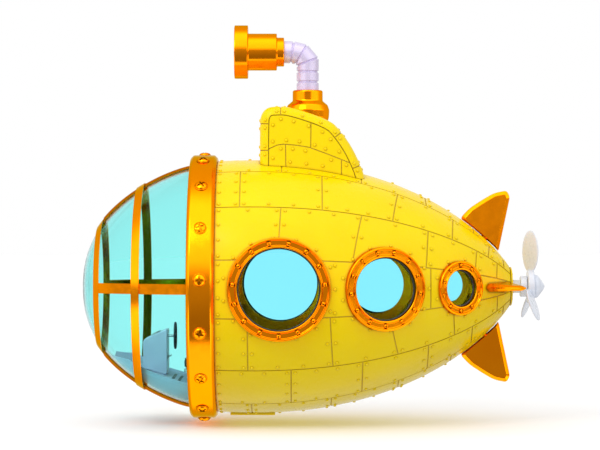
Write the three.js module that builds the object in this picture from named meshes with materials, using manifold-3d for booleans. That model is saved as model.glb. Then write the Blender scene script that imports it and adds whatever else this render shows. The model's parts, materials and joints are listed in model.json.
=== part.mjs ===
// Small personal submarine with a glass bow, six portholes, a conning tower with a periscope,
// four all-moving tail fins and an electric stern drive.
// Millimetres, +Z up. The bow points along -X and the stern along +X.
// The origin is the centre of the landing pad's underside. Every part is placed from the hull's own
// axis, which runs along X above the origin, and from amidships, halfway between nose and spinner tip.

import * as THREE from 'three';
import { mergeVertices } from 'three/addons/utils/BufferGeometryUtils.js';
import { ConvexGeometry } from 'three/addons/geometries/ConvexGeometry.js';
import Module from 'manifold-3d';

const wasm = await Module();
wasm.setup();

// ---- Driving dimensions ----

const GAP = 0.3;                // between parts that touch
const ROUND = 40;               // facets round the hull
const FINE = 32;                // facets round smaller turned parts
const BEYOND = 5000;            // reach of a cutter that only has to pass everything

// Outlines of revolution: r = radius * (1 - (|x - centre| / length) ^ fullness) ^ power
const HULL = { centre: -550, length: 2387, radius: 1135, fullness: 2.147, power: 0.7025, wall: 14 };
const CANOPY = { centre: -1080, length: 996, radius: 1061, fullness: 1.323, power: 0.431, wall: 20 };
const TAIL_X = 1758;

const BAND = { front: -1104, rear: -865, radius: 1179, bore: 1030, rearBore: 1098, bevel: 26, plate: 24 };
const HOOPS = {
  hoop_front: { x: -1918, width: 54, height: 24 },
  hoop_middle: { x: -1554, width: 72, height: 40 },
};
const RIB = { width: 90, height: 30, clearance: 0.8 };

const PORTHOLES = [
  { name: 'front', x: -309, clear: 356, rim: 443 },
  { name: 'middle', x: 611, clear: 274, rim: 362 },
  { name: 'rear', x: 1279, clear: 161, rim: 237 },
];
const PORTHOLE = { proud: 12, lip: 10, landing: 40, glass: 14, glassDepth: 45, facets: 28 };

const TOWER = { halfWidth: 360, wall: 12, edge: 80, foot: 700 };
const TRUNK = { front: -380, rear: 300, halfWidth: 240 };
const MAST = { x: -58, radius: 100, bottom: 1300, elbowBottom: 1950, bend: 125, headZ: 2108 };
const BASE = { bore: 103, top: 1763, foot: 1470 };
const HEAD = { rear: -270, collar: -335, barrel: -594, front: -716, recess: 26 };
const HEAD_RADII = { collar: 130, barrel: 166 };
const LENS = { rim: 240, radius: 170, thickness: 14, edge: 8 };
const CARRIAGE = { height: 60, halfX: 135, halfY: 200 };
const GUIDE = { y: 165, radius: 15, foot: 1102, footHeight: 12, footHalfX: 45, footHalfY: 340, top: 1500 };

const SHAFT_RADIUS = 25;
const STERN = { plate: 18, tube: 59, tubeEnd: 1852, flange: 94, flangeEnd: 1913, bore: 27 };
const HUB = { front: 1916, rear: 1976, radius: 149 };
const SPINNER = { radius: 108, tip: 2076 };
const BLADE = { count: 3, middle: 313, halfLength: 190, halfWidth: 128, pitch: 28 };
const BLADE_SECTION = { thickness: 20, edge: 5, flat: 0.72 };

const FIN = { root: 55, tip: 18, edge: 7, bevel: 34, gap: 14, swungGap: 4, stockRadius: 24, stockHole: 24.8 };
const RUDDER = { stockX: 1530, swing: 25 };
const PLANE = { stockX: 1655, swing: 20 };

const DECK = { top: -852, thickness: 12, front: -1126, rear: 620, rampFront: -1640, rampSlope: 0.315 };
const CONSOLE = { rear: -1312, front: -1528, ridge: -373, brow: -471, halfWidth: 170, wall: 10 };
const WHEEL = { x: -1248, z: -442, radius: 112, grip: 11, shaft: 12.5 };
const SEAT = { front: -1174, rear: -720, halfWidth: 230, top: -618, bottom: -730, backTop: -110 };
const LEVERS = { x: -1030, z: -560, inner: 275, outer: 345 };
const LEVER = { length: 150, width: 16, pin: 9, pinReach: 22, boss: 26, knob: 20 };
const MOTOR = { front: 1480, rear: 1650, radius: 130, edge: 20, shaftDepth: 70 };
const BATTERY = { front: -560, rear: 0, halfWidth: 300, bottom: -1020, top: -900, terminal: 22 };
const PAD = { x: -550, halfLength: 200, halfWidth: 90, bottom: -1152 };

// ---- Solids ----

// A closed three.js geometry as a solid, with shared vertices merged and empty triangles dropped.
function solid(geometry) {
  const loose = geometry.index ? geometry.toNonIndexed() : geometry;
  const bare = new THREE.BufferGeometry().setAttribute('position', loose.getAttribute('position'));
  const merged = mergeVertices(bare, 1e-3);
  const index = merged.index.array;
  const kept = [];
  for (let i = 0; i < index.length; i += 3) {
    const [a, b, c] = [index[i], index[i + 1], index[i + 2]];
    if (a !== b && b !== c && c !== a) kept.push(a, b, c);
  }
  return new wasm.Manifold(new wasm.Mesh({
    numProp: 3,
    vertProperties: merged.attributes.position.array,
    triVerts: Uint32Array.from(kept),
  }));
}

function geometryOf(body) {
  const { vertProperties, triVerts } = body.getMesh();
  const geometry = new THREE.BufferGeometry();
  geometry.setAttribute('position', new THREE.BufferAttribute(vertProperties, 3));
  geometry.setIndex(new THREE.BufferAttribute(triVerts, 1));
  const faceted = geometry.toNonIndexed();
  faceted.computeVertexNormals();
  return faceted;
}

// A closed [along, radius] profile turned round +X.
function turnedGeometry(profile, segments) {
  const points = profile.map(([along, radius]) => new THREE.Vector2(radius, along));
  if (THREE.ShapeUtils.area(points) < 0) points.reverse();
  points.push(points[0].clone());
  return new THREE.LatheGeometry(points, segments).rotateZ(-Math.PI / 2);
}

function turned(profile, segments = ROUND) {
  return solid(turnedGeometry(profile, segments));
}

// The same, turned round +Z, at a point in the X-Z plane.
function turnedUp(profile, x, segments) {
  return solid(turnedGeometry(profile, segments).rotateY(-Math.PI / 2).translate(x, 0, 0));
}

function block([x0, x1], [y0, y1], [z0, z1]) {
  const box = new THREE.BoxGeometry(x1 - x0, y1 - y0, z1 - z0);
  return solid(box.translate((x0 + x1) / 2, (y0 + y1) / 2, (z0 + z1) / 2));
}

function rod(radius, from, to, sides = 24) {
  const [a, b] = [new THREE.Vector3(...from), new THREE.Vector3(...to)];
  const along = b.clone().sub(a);
  const turn = new THREE.Quaternion().setFromUnitVectors(new THREE.Vector3(0, 1, 0), along.clone().normalize());
  const cylinder = new THREE.CylinderGeometry(radius, radius, along.length(), sides);
  const middle = a.add(b).multiplyScalar(0.5);
  return solid(cylinder.applyQuaternion(turn).translate(middle.x, middle.y, middle.z));
}

// A side outline of [x, z] points, extruded across the boat, with rounded edges.
function prism(outline, halfWidth, edge = 0) {
  const shape = new THREE.Shape(outline.map(([x, z]) => new THREE.Vector2(x, z)));
  const slab = new THREE.ExtrudeGeometry(shape, {
    depth: 2 * (halfWidth - edge),
    steps: 1,
    bevelEnabled: edge > 0,
    bevelThickness: edge,
    bevelSize: edge,
    bevelOffset: -edge,
    bevelSegments: 4,
    curveSegments: 1,
  });
  return solid(slab.rotateX(Math.PI / 2).translate(0, halfWidth - edge, 0));
}

// A convex outline with each side moved inwards.
function inset(outline, distance) {
  const points = outline.map(([x, z]) => new THREE.Vector2(x, z));
  const turn = Math.sign(THREE.ShapeUtils.area(points));
  const sides = points.map((p, i) => {
    const along = points[(i + 1) % points.length].clone().sub(p).normalize();
    const inwards = new THREE.Vector2(-along.y, along.x).multiplyScalar(turn * distance);
    return { start: p.clone().add(inwards), along };
  });
  return sides.map((side, i) => {
    const before = sides[(i + sides.length - 1) % sides.length];
    const across = before.along.cross(side.along);
    const reach = side.start.clone().sub(before.start).cross(side.along) / across;
    const corner = before.start.clone().addScaledVector(before.along, reach);
    return [corner.x, corner.y];
  });
}

// ---- Outlines of revolution ----

// Radius of an outline at x; grown moves the whole outline outwards.
function outlineRadius(outline, x, grown = 0) {
  const share = Math.min(1, Math.abs(x - outline.centre) / (outline.length + grown));
  return (outline.radius + grown) * (1 - share ** outline.fullness) ** outline.power;
}

const hullRadius = (x, grown) => outlineRadius(HULL, x, grown);
const canopyRadius = (x, grown) => outlineRadius(CANOPY, x, grown);

function spread(from, to, count) {
  return Array.from({ length: count + 1 }, (_, i) => from + ((to - from) * i) / count);
}

// Stations along the canopy, closer together towards the blunt nose.
function canopyStations(from, to) {
  const stations = spread(0, Math.PI / 2, 10).map(
    (angle) => CANOPY.centre - CANOPY.length * Math.sin(angle) ** (2 / CANOPY.fullness));
  return [from, ...stations.filter((x) => x < from - 8 && x > to + 8), to];
}

// The solid ring between two growths of the canopy outline, from one station to another.
function canopyRing(from, to, inner, outer) {
  const stations = canopyStations(from, to);
  const outside = stations.map((x) => [x, canopyRadius(x, outer)]);
  const inside = stations.map((x) => [x, canopyRadius(x, inner)]).reverse();
  return turned([...outside, ...inside]);
}

function hullBody(grown, from = BAND.rear, to = TAIL_X) {
  const outside = spread(from, to, 11).map((x) => [x, hullRadius(x) + grown]);
  return turned([[from, 0], ...outside, [to, 0]]);
}

// Everything inside the canopy, band and hull, clear of their inner faces.
function cabinSpace(clearance) {
  const bow = canopyStations(BAND.front, CANOPY.centre - CANOPY.length + 60)
    .map((x) => [x, canopyRadius(x, -CANOPY.wall - clearance)]).reverse();
  const stern = spread(BAND.rear, TAIL_X - 40, 11)
    .map((x) => [x, hullRadius(x) - HULL.wall - clearance]);
  const band = [[BAND.front, BAND.bore - clearance], [BAND.rear, BAND.bore - clearance]];
  return turned([[bow[0][0], 0], ...bow, ...band, ...stern, [TAIL_X - 40, 0]]);
}

// ---- The group and its parts ----

const onAxis = new THREE.Group();
onAxis.position.set(-PAD.x, 0, -PAD.bottom);

const FINISHES = {
  hullPaint: { color: 0xffdd00, roughness: 0.25, metalness: 0 },
  gold: { color: 0xf0a010, roughness: 0.18, metalness: 0.9 },
  canopyGlass: { color: 0x9ae8f8, roughness: 0.03, metalness: 0, transparent: true, opacity: 0.35 },
  whiteEnamel: { color: 0xf2f2f5, roughness: 0.3, metalness: 0 },
  mastSteel: { color: 0xd8d2e8, roughness: 0.3, metalness: 0.5 },
  deckPaint: { color: 0xb9cfe0, roughness: 0.5, metalness: 0 },
  consolePaint: { color: 0xa9c3da, roughness: 0.45, metalness: 0 },
  blackPlastic: { color: 0x2a2c30, roughness: 0.5, metalness: 0 },
  upholstery: { color: 0x33363a, roughness: 0.7, metalness: 0 },
  steel: { color: 0xa8adb2, roughness: 0.3, metalness: 0.9 },
  motorPaint: { color: 0x4a5560, roughness: 0.5, metalness: 0.2 },
};

function add(name, body, finish) {
  const mesh = new THREE.Mesh(geometryOf(body), new THREE.MeshStandardMaterial(FINISHES[finish]));
  mesh.name = name;
  onAxis.add(mesh);
}

const towerOutline = [
  [-484, 700], [-484, 1470], [-474, 1525], [-445, 1572], [-405, 1598], [-350, 1605],
  [-217, 1605], [143, 1483], [233, 1389], [323, 1263], [393, 1125], [440, 1010], [470, 860], [480, 700],
];

function towerBody(grown) {
  return prism(inset(towerOutline, -grown), TOWER.halfWidth + grown, TOWER.edge);
}

// Place and direction of each porthole, on the port (-1) or starboard (+1) side.
function portholeSeat({ x }, side) {
  const slope = (hullRadius(x - 1) - hullRadius(x + 1)) / 2;
  const tilt = Math.atan(slope);
  const outwards = new THREE.Vector3(Math.sin(tilt), side * Math.cos(tilt), 0);
  return { centre: new THREE.Vector3(x, side * hullRadius(x), 0), outwards };
}

function seated(geometry, { centre, outwards }) {
  const turn = new THREE.Quaternion().setFromUnitVectors(new THREE.Vector3(1, 0, 0), outwards);
  return solid(geometry.applyQuaternion(turn).translate(centre.x, centre.y, centre.z));
}

function portholeDepth({ x, rim }) {
  const radius = hullRadius(x);
  return radius - Math.sqrt(radius ** 2 - rim ** 2) + PORTHOLE.landing;
}

function hull() {
  let shell = hullBody(0).subtract(hullBody(-HULL.wall, BAND.rear - 1, TAIL_X + 1));
  shell = shell.subtract(block([-BEYOND, BAND.rear + GAP], [-BEYOND, BEYOND], [-BEYOND, BEYOND]));
  for (const port of PORTHOLES) {
    for (const side of [-1, 1]) {
      const hole = port.rim + GAP;
      const cutter = turnedGeometry([[-300, 0], [-300, hole], [200, hole], [200, 0]], PORTHOLE.facets);
      shell = shell.subtract(seated(cutter, portholeSeat(port, side)));
    }
  }
  shell = shell.subtract(block(
    [TRUNK.front, TRUNK.rear], [-TRUNK.halfWidth, TRUNK.halfWidth], [TOWER.foot, TOWER.foot + 600]));
  for (const reach of [-600, 600]) {
    shell = shell.subtract(rod(FIN.stockHole, [RUDDER.stockX, 0, reach / 4], [RUDDER.stockX, 0, reach]));
    shell = shell.subtract(rod(FIN.stockHole, [PLANE.stockX, reach / 4, 0], [PLANE.stockX, reach, 0]));
  }
  add('hull_shell', shell, 'hullPaint');
}

function portholes() {
  const face = PORTHOLE.proud;
  for (const port of PORTHOLES) {
    const { clear, rim } = port;
    const depth = portholeDepth(port);
    const frame = [
      [-depth, clear], [face - PORTHOLE.lip, clear], [face, clear + PORTHOLE.lip],
      [face, rim - PORTHOLE.lip], [face - PORTHOLE.lip, rim], [-depth, rim],
    ];
    const glassBack = -PORTHOLE.glassDepth;
    const glassFront = glassBack + PORTHOLE.glass;
    const pane = [[glassBack, 0], [glassBack, clear - GAP], [glassFront, clear - GAP], [glassFront, 0]];
    for (const [side, hand] of [[-1, 'port'], [1, 'starboard']]) {
      const seat = portholeSeat(port, side);
      add(`porthole_frame_${port.name}_${hand}`, seated(turnedGeometry(frame, PORTHOLE.facets), seat), 'gold');
      add(`porthole_glass_${port.name}_${hand}`, seated(turnedGeometry(pane, PORTHOLE.facets), seat), 'canopyGlass');
    }
  }
}

function bowBand() {
  const { front, rear, radius, bore, rearBore, bevel, plate } = BAND;
  add('bow_band', turned([
    [front, bore], [front, radius - bevel], [front + bevel, radius],
    [rear - bevel, radius], [rear, radius - bevel], [rear, rearBore],
    [rear - plate, rearBore], [rear - plate, radius - plate], [front + plate, radius - plate],
    [front + plate, bore],
  ]), 'gold');
}

function canopy() {
  const base = BAND.front - GAP;
  const nose = CANOPY.centre - CANOPY.length;
  const outside = canopyStations(base, nose).map((x) => [x, canopyRadius(x)]);
  const inside = canopyStations(base, nose + CANOPY.wall).map((x) => [x, canopyRadius(x, -CANOPY.wall)]);
  add('canopy_glass', turned([...outside, ...inside.reverse()]), 'canopyGlass');
}

function bowFrames() {
  const { clearance } = RIB;
  for (const [name, { x, width, height }] of Object.entries(HOOPS)) {
    add(name, canopyRing(x + width / 2, x - width / 2, clearance, height), 'gold');
  }
  const [front, middle] = [HOOPS.hoop_front, HOOPS.hoop_middle];
  const stretches = {
    front: [middle.x - middle.width / 2 - GAP, front.x + front.width / 2 + GAP],
    rear: [BAND.front - GAP, middle.x + middle.width / 2 + GAP],
  };
  const strip = block([-3000, 0], [-RIB.width / 2, RIB.width / 2], [0, 2000]);
  for (const [stretch, [from, to]] of Object.entries(stretches)) {
    const rib = canopyRing(from, to, clearance, RIB.height).intersect(strip);
    ['top', 'port', 'bottom', 'starboard'].forEach((place, quarter) => {
      add(`rib_${place}_${stretch}`, rib.rotate([quarter * 90, 0, 0]), 'gold');
    });
  }
}

function conningTower() {
  const inside = prism(inset(towerOutline, TOWER.wall), TOWER.halfWidth - TOWER.wall, TOWER.edge - TOWER.wall);
  const below = block([-BEYOND, BEYOND], [-BEYOND, BEYOND], [0, TOWER.foot + 150]);
  const mastHole = rod(BASE.bore + 4, [MAST.x, 0, BASE.foot - 70], [MAST.x, 0, BASE.top], FINE);
  const shell = towerBody(0).subtract(inside).subtract(below).subtract(hullBody(GAP)).subtract(mastHole);
  add('conning_tower', shell, 'hullPaint');
}

function periscopeBase() {
  const { foot, top, bore } = BASE;
  const profile = [
    [foot, bore], [foot, 178], [1525, 192], [1585, 195], [1630, 180], [1655, 150],
    [1668, 135], [top - 18, 135], [top, 122], [top, bore],
  ];
  const base = turnedUp(profile, MAST.x, FINE).subtract(towerBody(GAP));
  add('periscope_base', base, 'gold');
}

function periscope() {
  const { x, radius, bottom, elbowBottom, bend, headZ } = MAST;
  add('periscope_mast', rod(radius, [x, 0, bottom], [x, 0, elbowBottom - GAP], FINE), 'mastSteel');

  const bendStart = headZ - bend;
  const path = new THREE.CurvePath();
  path.add(new THREE.LineCurve3(new THREE.Vector3(x, 0, elbowBottom), new THREE.Vector3(x, 0, bendStart)));
  path.add(new THREE.QuadraticBezierCurve3(
    new THREE.Vector3(x, 0, bendStart), new THREE.Vector3(x, 0, headZ), new THREE.Vector3(x - bend, 0, headZ)));
  path.add(new THREE.LineCurve3(
    new THREE.Vector3(x - bend, 0, headZ), new THREE.Vector3(HEAD.rear + GAP, 0, headZ)));
  const section = new THREE.Shape().absarc(0, 0, radius, 0, 2 * Math.PI);
  const elbow = new THREE.ExtrudeGeometry(section, { steps: 11, extrudePath: path, curveSegments: 11 });
  add('periscope_elbow', solid(elbow), 'mastSteel');

  const { rear, collar, barrel, front, recess } = HEAD;
  const { rim, radius: lensRadius, thickness, edge } = LENS;
  const seat = front + recess;
  const head = turned([
    [rear, 0], [rear, HEAD_RADII.collar], [collar, HEAD_RADII.collar], [collar, HEAD_RADII.barrel],
    [barrel, HEAD_RADII.barrel], [barrel, rim - edge], [barrel - edge, rim], [front + edge, rim],
    [front, rim - edge], [front, lensRadius], [seat, lensRadius], [seat, 0],
  ], FINE).translate([0, 0, headZ]);
  add('periscope_head', head, 'gold');
  const lens = turned([
    [seat - thickness, 0], [seat - thickness, lensRadius - GAP], [seat - GAP, lensRadius - GAP], [seat - GAP, 0],
  ], FINE).translate([0, 0, headZ]);
  add('periscope_lens', lens, 'canopyGlass');
}

function mastCarriage() {
  const { height, halfX, halfY } = CARRIAGE;
  const top = MAST.bottom - GAP;
  let plate = block([MAST.x - halfX, MAST.x + halfX], [-halfY, halfY], [top - height, top]);
  for (const y of [-GUIDE.y, GUIDE.y]) {
    plate = plate.subtract(rod(GUIDE.radius + 1, [MAST.x, y, top - 2 * height], [MAST.x, y, top + height]));
  }
  add('mast_carriage', plate, 'steel');

  const { foot, footHeight, footHalfX, footHalfY } = GUIDE;
  let guides = block([MAST.x - footHalfX, MAST.x + footHalfX], [-footHalfY, footHalfY], [foot, foot + footHeight]);
  guides = guides.subtract(hullBody(GAP));
  for (const y of [-GUIDE.y, GUIDE.y]) {
    guides = guides.add(rod(GUIDE.radius, [MAST.x, y, foot + footHeight / 2], [MAST.x, y, GUIDE.top]));
  }
  add('mast_guides', guides, 'steel');
}

function sternDrive() {
  const { tube, tubeEnd, flange, flangeEnd, bore } = STERN;
  const plateRadius = hullRadius(TAIL_X);
  const plateRear = TAIL_X + STERN.plate;
  add('tail_plate', turned([
    [TAIL_X + GAP, bore], [TAIL_X + GAP, plateRadius], [plateRear - 6, plateRadius],
    [plateRear, plateRadius - 10], [plateRear, bore],
  ], FINE), 'hullPaint');
  const sleeve = (from, to, radius) => turned([[from, bore], [from, radius], [to, radius], [to, bore]], FINE);
  add('stern_tube', sleeve(plateRear + GAP, tubeEnd, tube), 'whiteEnamel');
  add('stern_bearing', sleeve(tubeEnd + GAP, flangeEnd, flange), 'whiteEnamel');
  add('propeller_shaft', rod(SHAFT_RADIUS, [MOTOR.rear - 60, 0, 0], [HUB.rear - 10, 0, 0]), 'steel');
  const { front, rear, radius, edge, shaftDepth } = MOTOR;
  add('motor_casing', turned([
    [front, 0], [front, radius - edge], [front + edge, radius], [rear - edge, radius],
    [rear, radius - edge], [rear, bore], [rear - shaftDepth, bore], [rear - shaftDepth, 0],
  ], FINE), 'motorPaint');
}

// A flat elliptical blade, thick in the middle and thin at its edge, standing up at the given pitch.
function bladeBody() {
  const points = [];
  for (const angle of spread(0, 2 * Math.PI, 16).slice(1)) {
    const [along, across] = [Math.cos(angle), Math.sin(angle)];
    for (const [size, half] of [[1, BLADE_SECTION.edge / 2], [BLADE_SECTION.flat, BLADE_SECTION.thickness / 2]]) {
      const z = BLADE.middle + size * BLADE.halfLength * along;
      const x = size * BLADE.halfWidth * across;
      points.push(new THREE.Vector3(x, half, z), new THREE.Vector3(x, -half, z));
    }
  }
  const pitch = THREE.MathUtils.degToRad(90 - BLADE.pitch);
  return solid(new ConvexGeometry(points).rotateZ(pitch));
}

function propeller() {
  const middle = (HUB.front + HUB.rear) / 2;
  let rotor = turned([
    [HUB.front, 0], [HUB.front, HUB.radius - 8], [HUB.front + 8, HUB.radius],
    [HUB.rear - 8, HUB.radius], [HUB.rear, HUB.radius - 8], [HUB.rear, 0],
  ], FINE);
  for (let i = 0; i < BLADE.count; i += 1) {
    rotor = rotor.add(bladeBody().translate([middle, 0, 0]).rotate([(i * 360) / BLADE.count, 0, 0]));
  }
  rotor = rotor.subtract(rod(SHAFT_RADIUS + GAP, [0, 0, 0], [BEYOND, 0, 0]));
  add('propeller', rotor, 'whiteEnamel');
  const base = HUB.rear + GAP;
  add('spinner', turned([
    [base, 0], [base, SPINNER.radius], [base + 36, SPINNER.radius * 0.88],
    [SPINNER.tip - 6, SPINNER.radius * 0.12], [SPINNER.tip, 0],
  ], FINE), 'whiteEnamel');
}

// A fin from its [x, distance from the axis] outline, with a bevelled edge and a round stock at its root.
// The root clears the hull at rest and at both ends of the fin's swing.
function finBody(outline, { stockX, swing }) {
  const tipReach = Math.max(...outline.map(([, reach]) => reach));
  const rootReach = Math.min(...outline.map(([, reach]) => reach));
  const points = [];
  for (const [x, reach] of outline) points.push([x, reach, FIN.edge], [x, reach, -FIN.edge]);
  for (const [x, reach] of inset(outline, FIN.bevel)) {
    const share = (reach - rootReach) / (tipReach - rootReach);
    const half = FIN.root + (FIN.tip - FIN.root) * share;
    points.push([x, reach, half], [x, reach, -half]);
  }
  let blade = solid(new ConvexGeometry(points.map(([x, reach, y]) => new THREE.Vector3(x, y, reach))));
  blade = blade.subtract(hullBody(FIN.gap));
  for (const angle of [-swing, swing]) {
    const swungHull = hullBody(FIN.swungGap).translate([-stockX, 0, 0]).rotate([0, 0, angle]);
    blade = blade.subtract(swungHull.translate([stockX, 0, 0]));
  }
  const rootAt = hullRadius(stockX);
  return blade.add(rod(FIN.stockRadius, [stockX, 0, rootAt - 130], [stockX, 0, rootAt + 90]));
}

function fins() {
  const rudder = finBody([
    [1310, 610], [1400, 705], [1510, 777], [1618, 840], [1732, 863], [1762, 806], [1655, 300],
  ], RUDDER);
  const plane = finBody([
    [1500, 430], [1580, 560], [1680, 650], [1790, 705], [1842, 712], [1846, 660], [1735, 200],
  ], PLANE);
  add('rudder_upper', rudder, 'gold');
  add('rudder_lower', rudder.rotate([180, 0, 0]), 'gold');
  add('stern_plane_port', plane.rotate([90, 0, 0]), 'gold');
  add('stern_plane_starboard', plane.rotate([-90, 0, 0]), 'gold');
}

function deck() {
  const { top, thickness, front, rear, rampFront, rampSlope } = DECK;
  const space = cabinSpace(6);
  const flat = block([front, rear], [-BEYOND, BEYOND], [top - thickness, top]).intersect(space);
  add('floor_deck', flat, 'deckPaint');
  const rise = (x) => top + (front - x) * rampSlope;
  const pan = prism([
    [front - GAP, top - thickness], [front - GAP, top],
    [rampFront, rise(rampFront)], [rampFront, rise(rampFront) - thickness],
  ], BEYOND).intersect(space);
  add('footwell_pan', pan, 'deckPaint');
}

function consoleShell() {
  const { rear, front, ridge, brow, halfWidth, wall } = CONSOLE;
  const foot = (x) => DECK.top + (DECK.front - x) * DECK.rampSlope + 1;
  const outlineTo = (drop) => [
    [rear, foot(rear) - drop], [rear, ridge], [front, brow], [front, foot(front) - drop],
  ];
  const outline = outlineTo(0);
  const inside = inset(outlineTo(6 * wall), wall);
  const shell = prism(outline, halfWidth).subtract(prism(inside, halfWidth - wall))
    .subtract(rod(WHEEL.shaft + 0.8, [rear - 60, 0, WHEEL.z], [rear + 60, 0, WHEEL.z]));
  add('console', shell, 'consolePaint');
}

function steering() {
  const { x, z, radius, grip, shaft } = WHEEL;
  add('steering_shaft', rod(shaft, [CONSOLE.rear - 50, 0, z], [x - 16 - GAP, 0, z]), 'steel');
  let wheel = solid(new THREE.TorusGeometry(radius, grip, 6, 28).rotateY(Math.PI / 2).translate(x, 0, z));
  wheel = wheel.add(rod(30, [x - 16, 0, z], [x + 14, 0, z]));
  for (let i = 0; i < 3; i += 1) {
    const angle = Math.PI / 2 + (i * 2 * Math.PI) / 3;
    const rim = [x, radius * Math.cos(angle), z + radius * Math.sin(angle)];
    wheel = wheel.add(rod(7, [x, 0, z], rim, 8));
  }
  add('steering_wheel', wheel, 'blackPlastic');
}

function seat() {
  const { front, rear, halfWidth, top, bottom, backTop } = SEAT;
  const pedestal = block([front + 70, rear - 60], [-150, 150], [DECK.top + GAP, bottom - 24])
    .add(block([front + 15, rear + 6], [-halfWidth + 10, halfWidth - 10], [bottom - 24, bottom - 1]))
    .add(block([rear + 6, rear + 20], [-120, 120], [bottom - 24, backTop - 60]));
  add('seat_frame', pedestal, 'steel');
  add('seat_cushion', prism([
    [front, bottom + 30], [front + 14, top - 25], [front + 60, top], [rear - 8, top - 10],
    [rear - 8, bottom], [front + 30, bottom],
  ], halfWidth, 22), 'upholstery');
  add('seat_back', prism([
    [rear - 106, top + 4], [rear - 84, backTop - 30], [rear - 60, backTop], [rear - 14, backTop],
    [rear + 4, backTop - 24], [rear + 4, top + 4],
  ], halfWidth - 10, 22), 'upholstery');
}

function levers() {
  const { x, z, inner, outer } = LEVERS;
  const { length, width, pin, pinReach, boss, knob } = LEVER;
  const quadrant = prism([
    [x - 90, DECK.top + GAP], [x - 70, z - 10], [x - 40, z + 26], [x + 40, z + 26], [x + 70, z - 10],
    [x + 90, DECK.top + GAP],
  ], (outer - inner) / 2).translate([0, (inner + outer) / 2, 0]);
  const bore = rod(pin + GAP, [x, inner - pinReach, z], [x, outer + pinReach, z]);
  add('lever_quadrant', quadrant.subtract(bore), 'consolePaint');
  add('lever_pin', rod(pin, [x, inner - pinReach + 2, z], [x, outer + pinReach - 2, z], 16), 'steel');
  const lever = (y0) => {
    const y1 = y0 + width;
    const middle = (y0 + y1) / 2;
    const ball = new THREE.SphereGeometry(knob, 12, 8).translate(x, middle, z + length);
    return rod(boss, [x, y0, z], [x, y1, z], 20)
      .add(rod(6.5, [x, middle, z], [x, middle, z + length], 8))
      .add(solid(ball)).subtract(rod(pin + 0.8, [x, y0 - 5, z], [x, y1 + 5, z]));
  };
  add('dive_lever', lever(inner - 1 - width), 'blackPlastic');
  add('throttle_lever', lever(outer + 1), 'blackPlastic');
}

function batteryBox() {
  const { front, rear, halfWidth, bottom, top, terminal } = BATTERY;
  const body = block([front, rear], [-halfWidth, halfWidth], [bottom, top]);
  const terminals = [-1, 1].map((side) => {
    const [x, y] = [front + 5 * terminal, side * (halfWidth - 50)];
    return rod(terminal, [x, y, top - 1], [x, y, top + 28], 16);
  });
  add('battery_box', terminals.reduce((box, post) => box.add(post), body), 'motorPaint');
}

function landingPad() {
  const { x, halfLength, halfWidth, bottom } = PAD;
  const pad = block([x - halfLength, x + halfLength], [-halfWidth, halfWidth], [bottom, bottom + 200])
    .subtract(hullBody(GAP));
  add('landing_pad', pad, 'hullPaint');
}

hull();
portholes();
bowBand();
canopy();
bowFrames();
conningTower();
periscopeBase();
periscope();
mastCarriage();
sternDrive();
propeller();
fins();
deck();
consoleShell();
steering();
seat();
levers();
batteryBox();
landingPad();

const submarine = new THREE.Group();
submarine.add(onAxis);

export default submarine;
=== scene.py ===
"""Looks for a small personal submarine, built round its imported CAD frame.

Shapes are made in metres from amidships on the hull's axis, with the bow along -X and the port side
along -Y, and are then moved to where the frame has them.
"""
import json
import math

import bmesh
import bpy
from mathutils import Matrix, Vector
from mathutils.bvhtree import BVHTree


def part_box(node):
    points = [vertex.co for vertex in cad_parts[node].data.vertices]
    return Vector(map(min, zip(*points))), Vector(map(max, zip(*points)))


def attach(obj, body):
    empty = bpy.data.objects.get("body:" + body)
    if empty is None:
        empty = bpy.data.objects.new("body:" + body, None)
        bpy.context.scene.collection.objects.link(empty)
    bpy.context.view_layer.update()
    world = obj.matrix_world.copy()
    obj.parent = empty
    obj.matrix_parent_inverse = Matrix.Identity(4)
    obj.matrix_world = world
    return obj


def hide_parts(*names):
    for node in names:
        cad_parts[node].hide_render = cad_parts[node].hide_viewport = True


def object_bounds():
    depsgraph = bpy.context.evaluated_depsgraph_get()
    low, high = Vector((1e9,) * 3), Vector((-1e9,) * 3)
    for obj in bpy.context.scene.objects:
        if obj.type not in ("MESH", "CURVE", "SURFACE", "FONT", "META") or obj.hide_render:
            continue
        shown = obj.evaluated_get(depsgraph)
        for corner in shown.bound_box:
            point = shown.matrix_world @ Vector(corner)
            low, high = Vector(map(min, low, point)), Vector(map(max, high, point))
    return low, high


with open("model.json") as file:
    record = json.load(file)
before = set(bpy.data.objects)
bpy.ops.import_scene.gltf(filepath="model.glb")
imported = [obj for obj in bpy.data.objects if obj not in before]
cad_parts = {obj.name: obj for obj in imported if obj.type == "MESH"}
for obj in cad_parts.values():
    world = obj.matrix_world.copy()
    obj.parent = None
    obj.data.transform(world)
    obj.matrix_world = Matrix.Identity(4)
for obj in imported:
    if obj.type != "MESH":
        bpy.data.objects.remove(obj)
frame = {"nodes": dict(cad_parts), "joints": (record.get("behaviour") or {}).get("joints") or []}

CAD_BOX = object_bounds()
SCENE = bpy.context.scene


def middle(node):
    low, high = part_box(node)
    return (low + high) / 2


def half_size(node):
    low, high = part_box(node)
    return (high - low) / 2


AMIDSHIPS = (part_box("canopy_glass")[0].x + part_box("spinner")[1].x) / 2
AXIS_Z = middle("bow_band").z
TO_FRAME = Matrix.Translation((AMIDSHIPS, 0, AXIS_Z))
TO_AXIS = TO_FRAME.inverted()


def low(node):
    return TO_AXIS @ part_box(node)[0]


def high(node):
    return TO_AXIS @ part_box(node)[1]


# ---- Camera ----

def camera():
    data = bpy.data.cameras.new("camera")
    data.sensor_width = 36
    data.lens = 144
    data.clip_end = 500
    made = bpy.data.objects.new("camera", data)
    made.location = TO_FRAME @ Vector((-0.127, -21.6, 0.552))
    made.rotation_euler = (math.radians(90), 0, 0)
    SCENE.collection.objects.link(made)
    SCENE.camera = made


camera()

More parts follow.
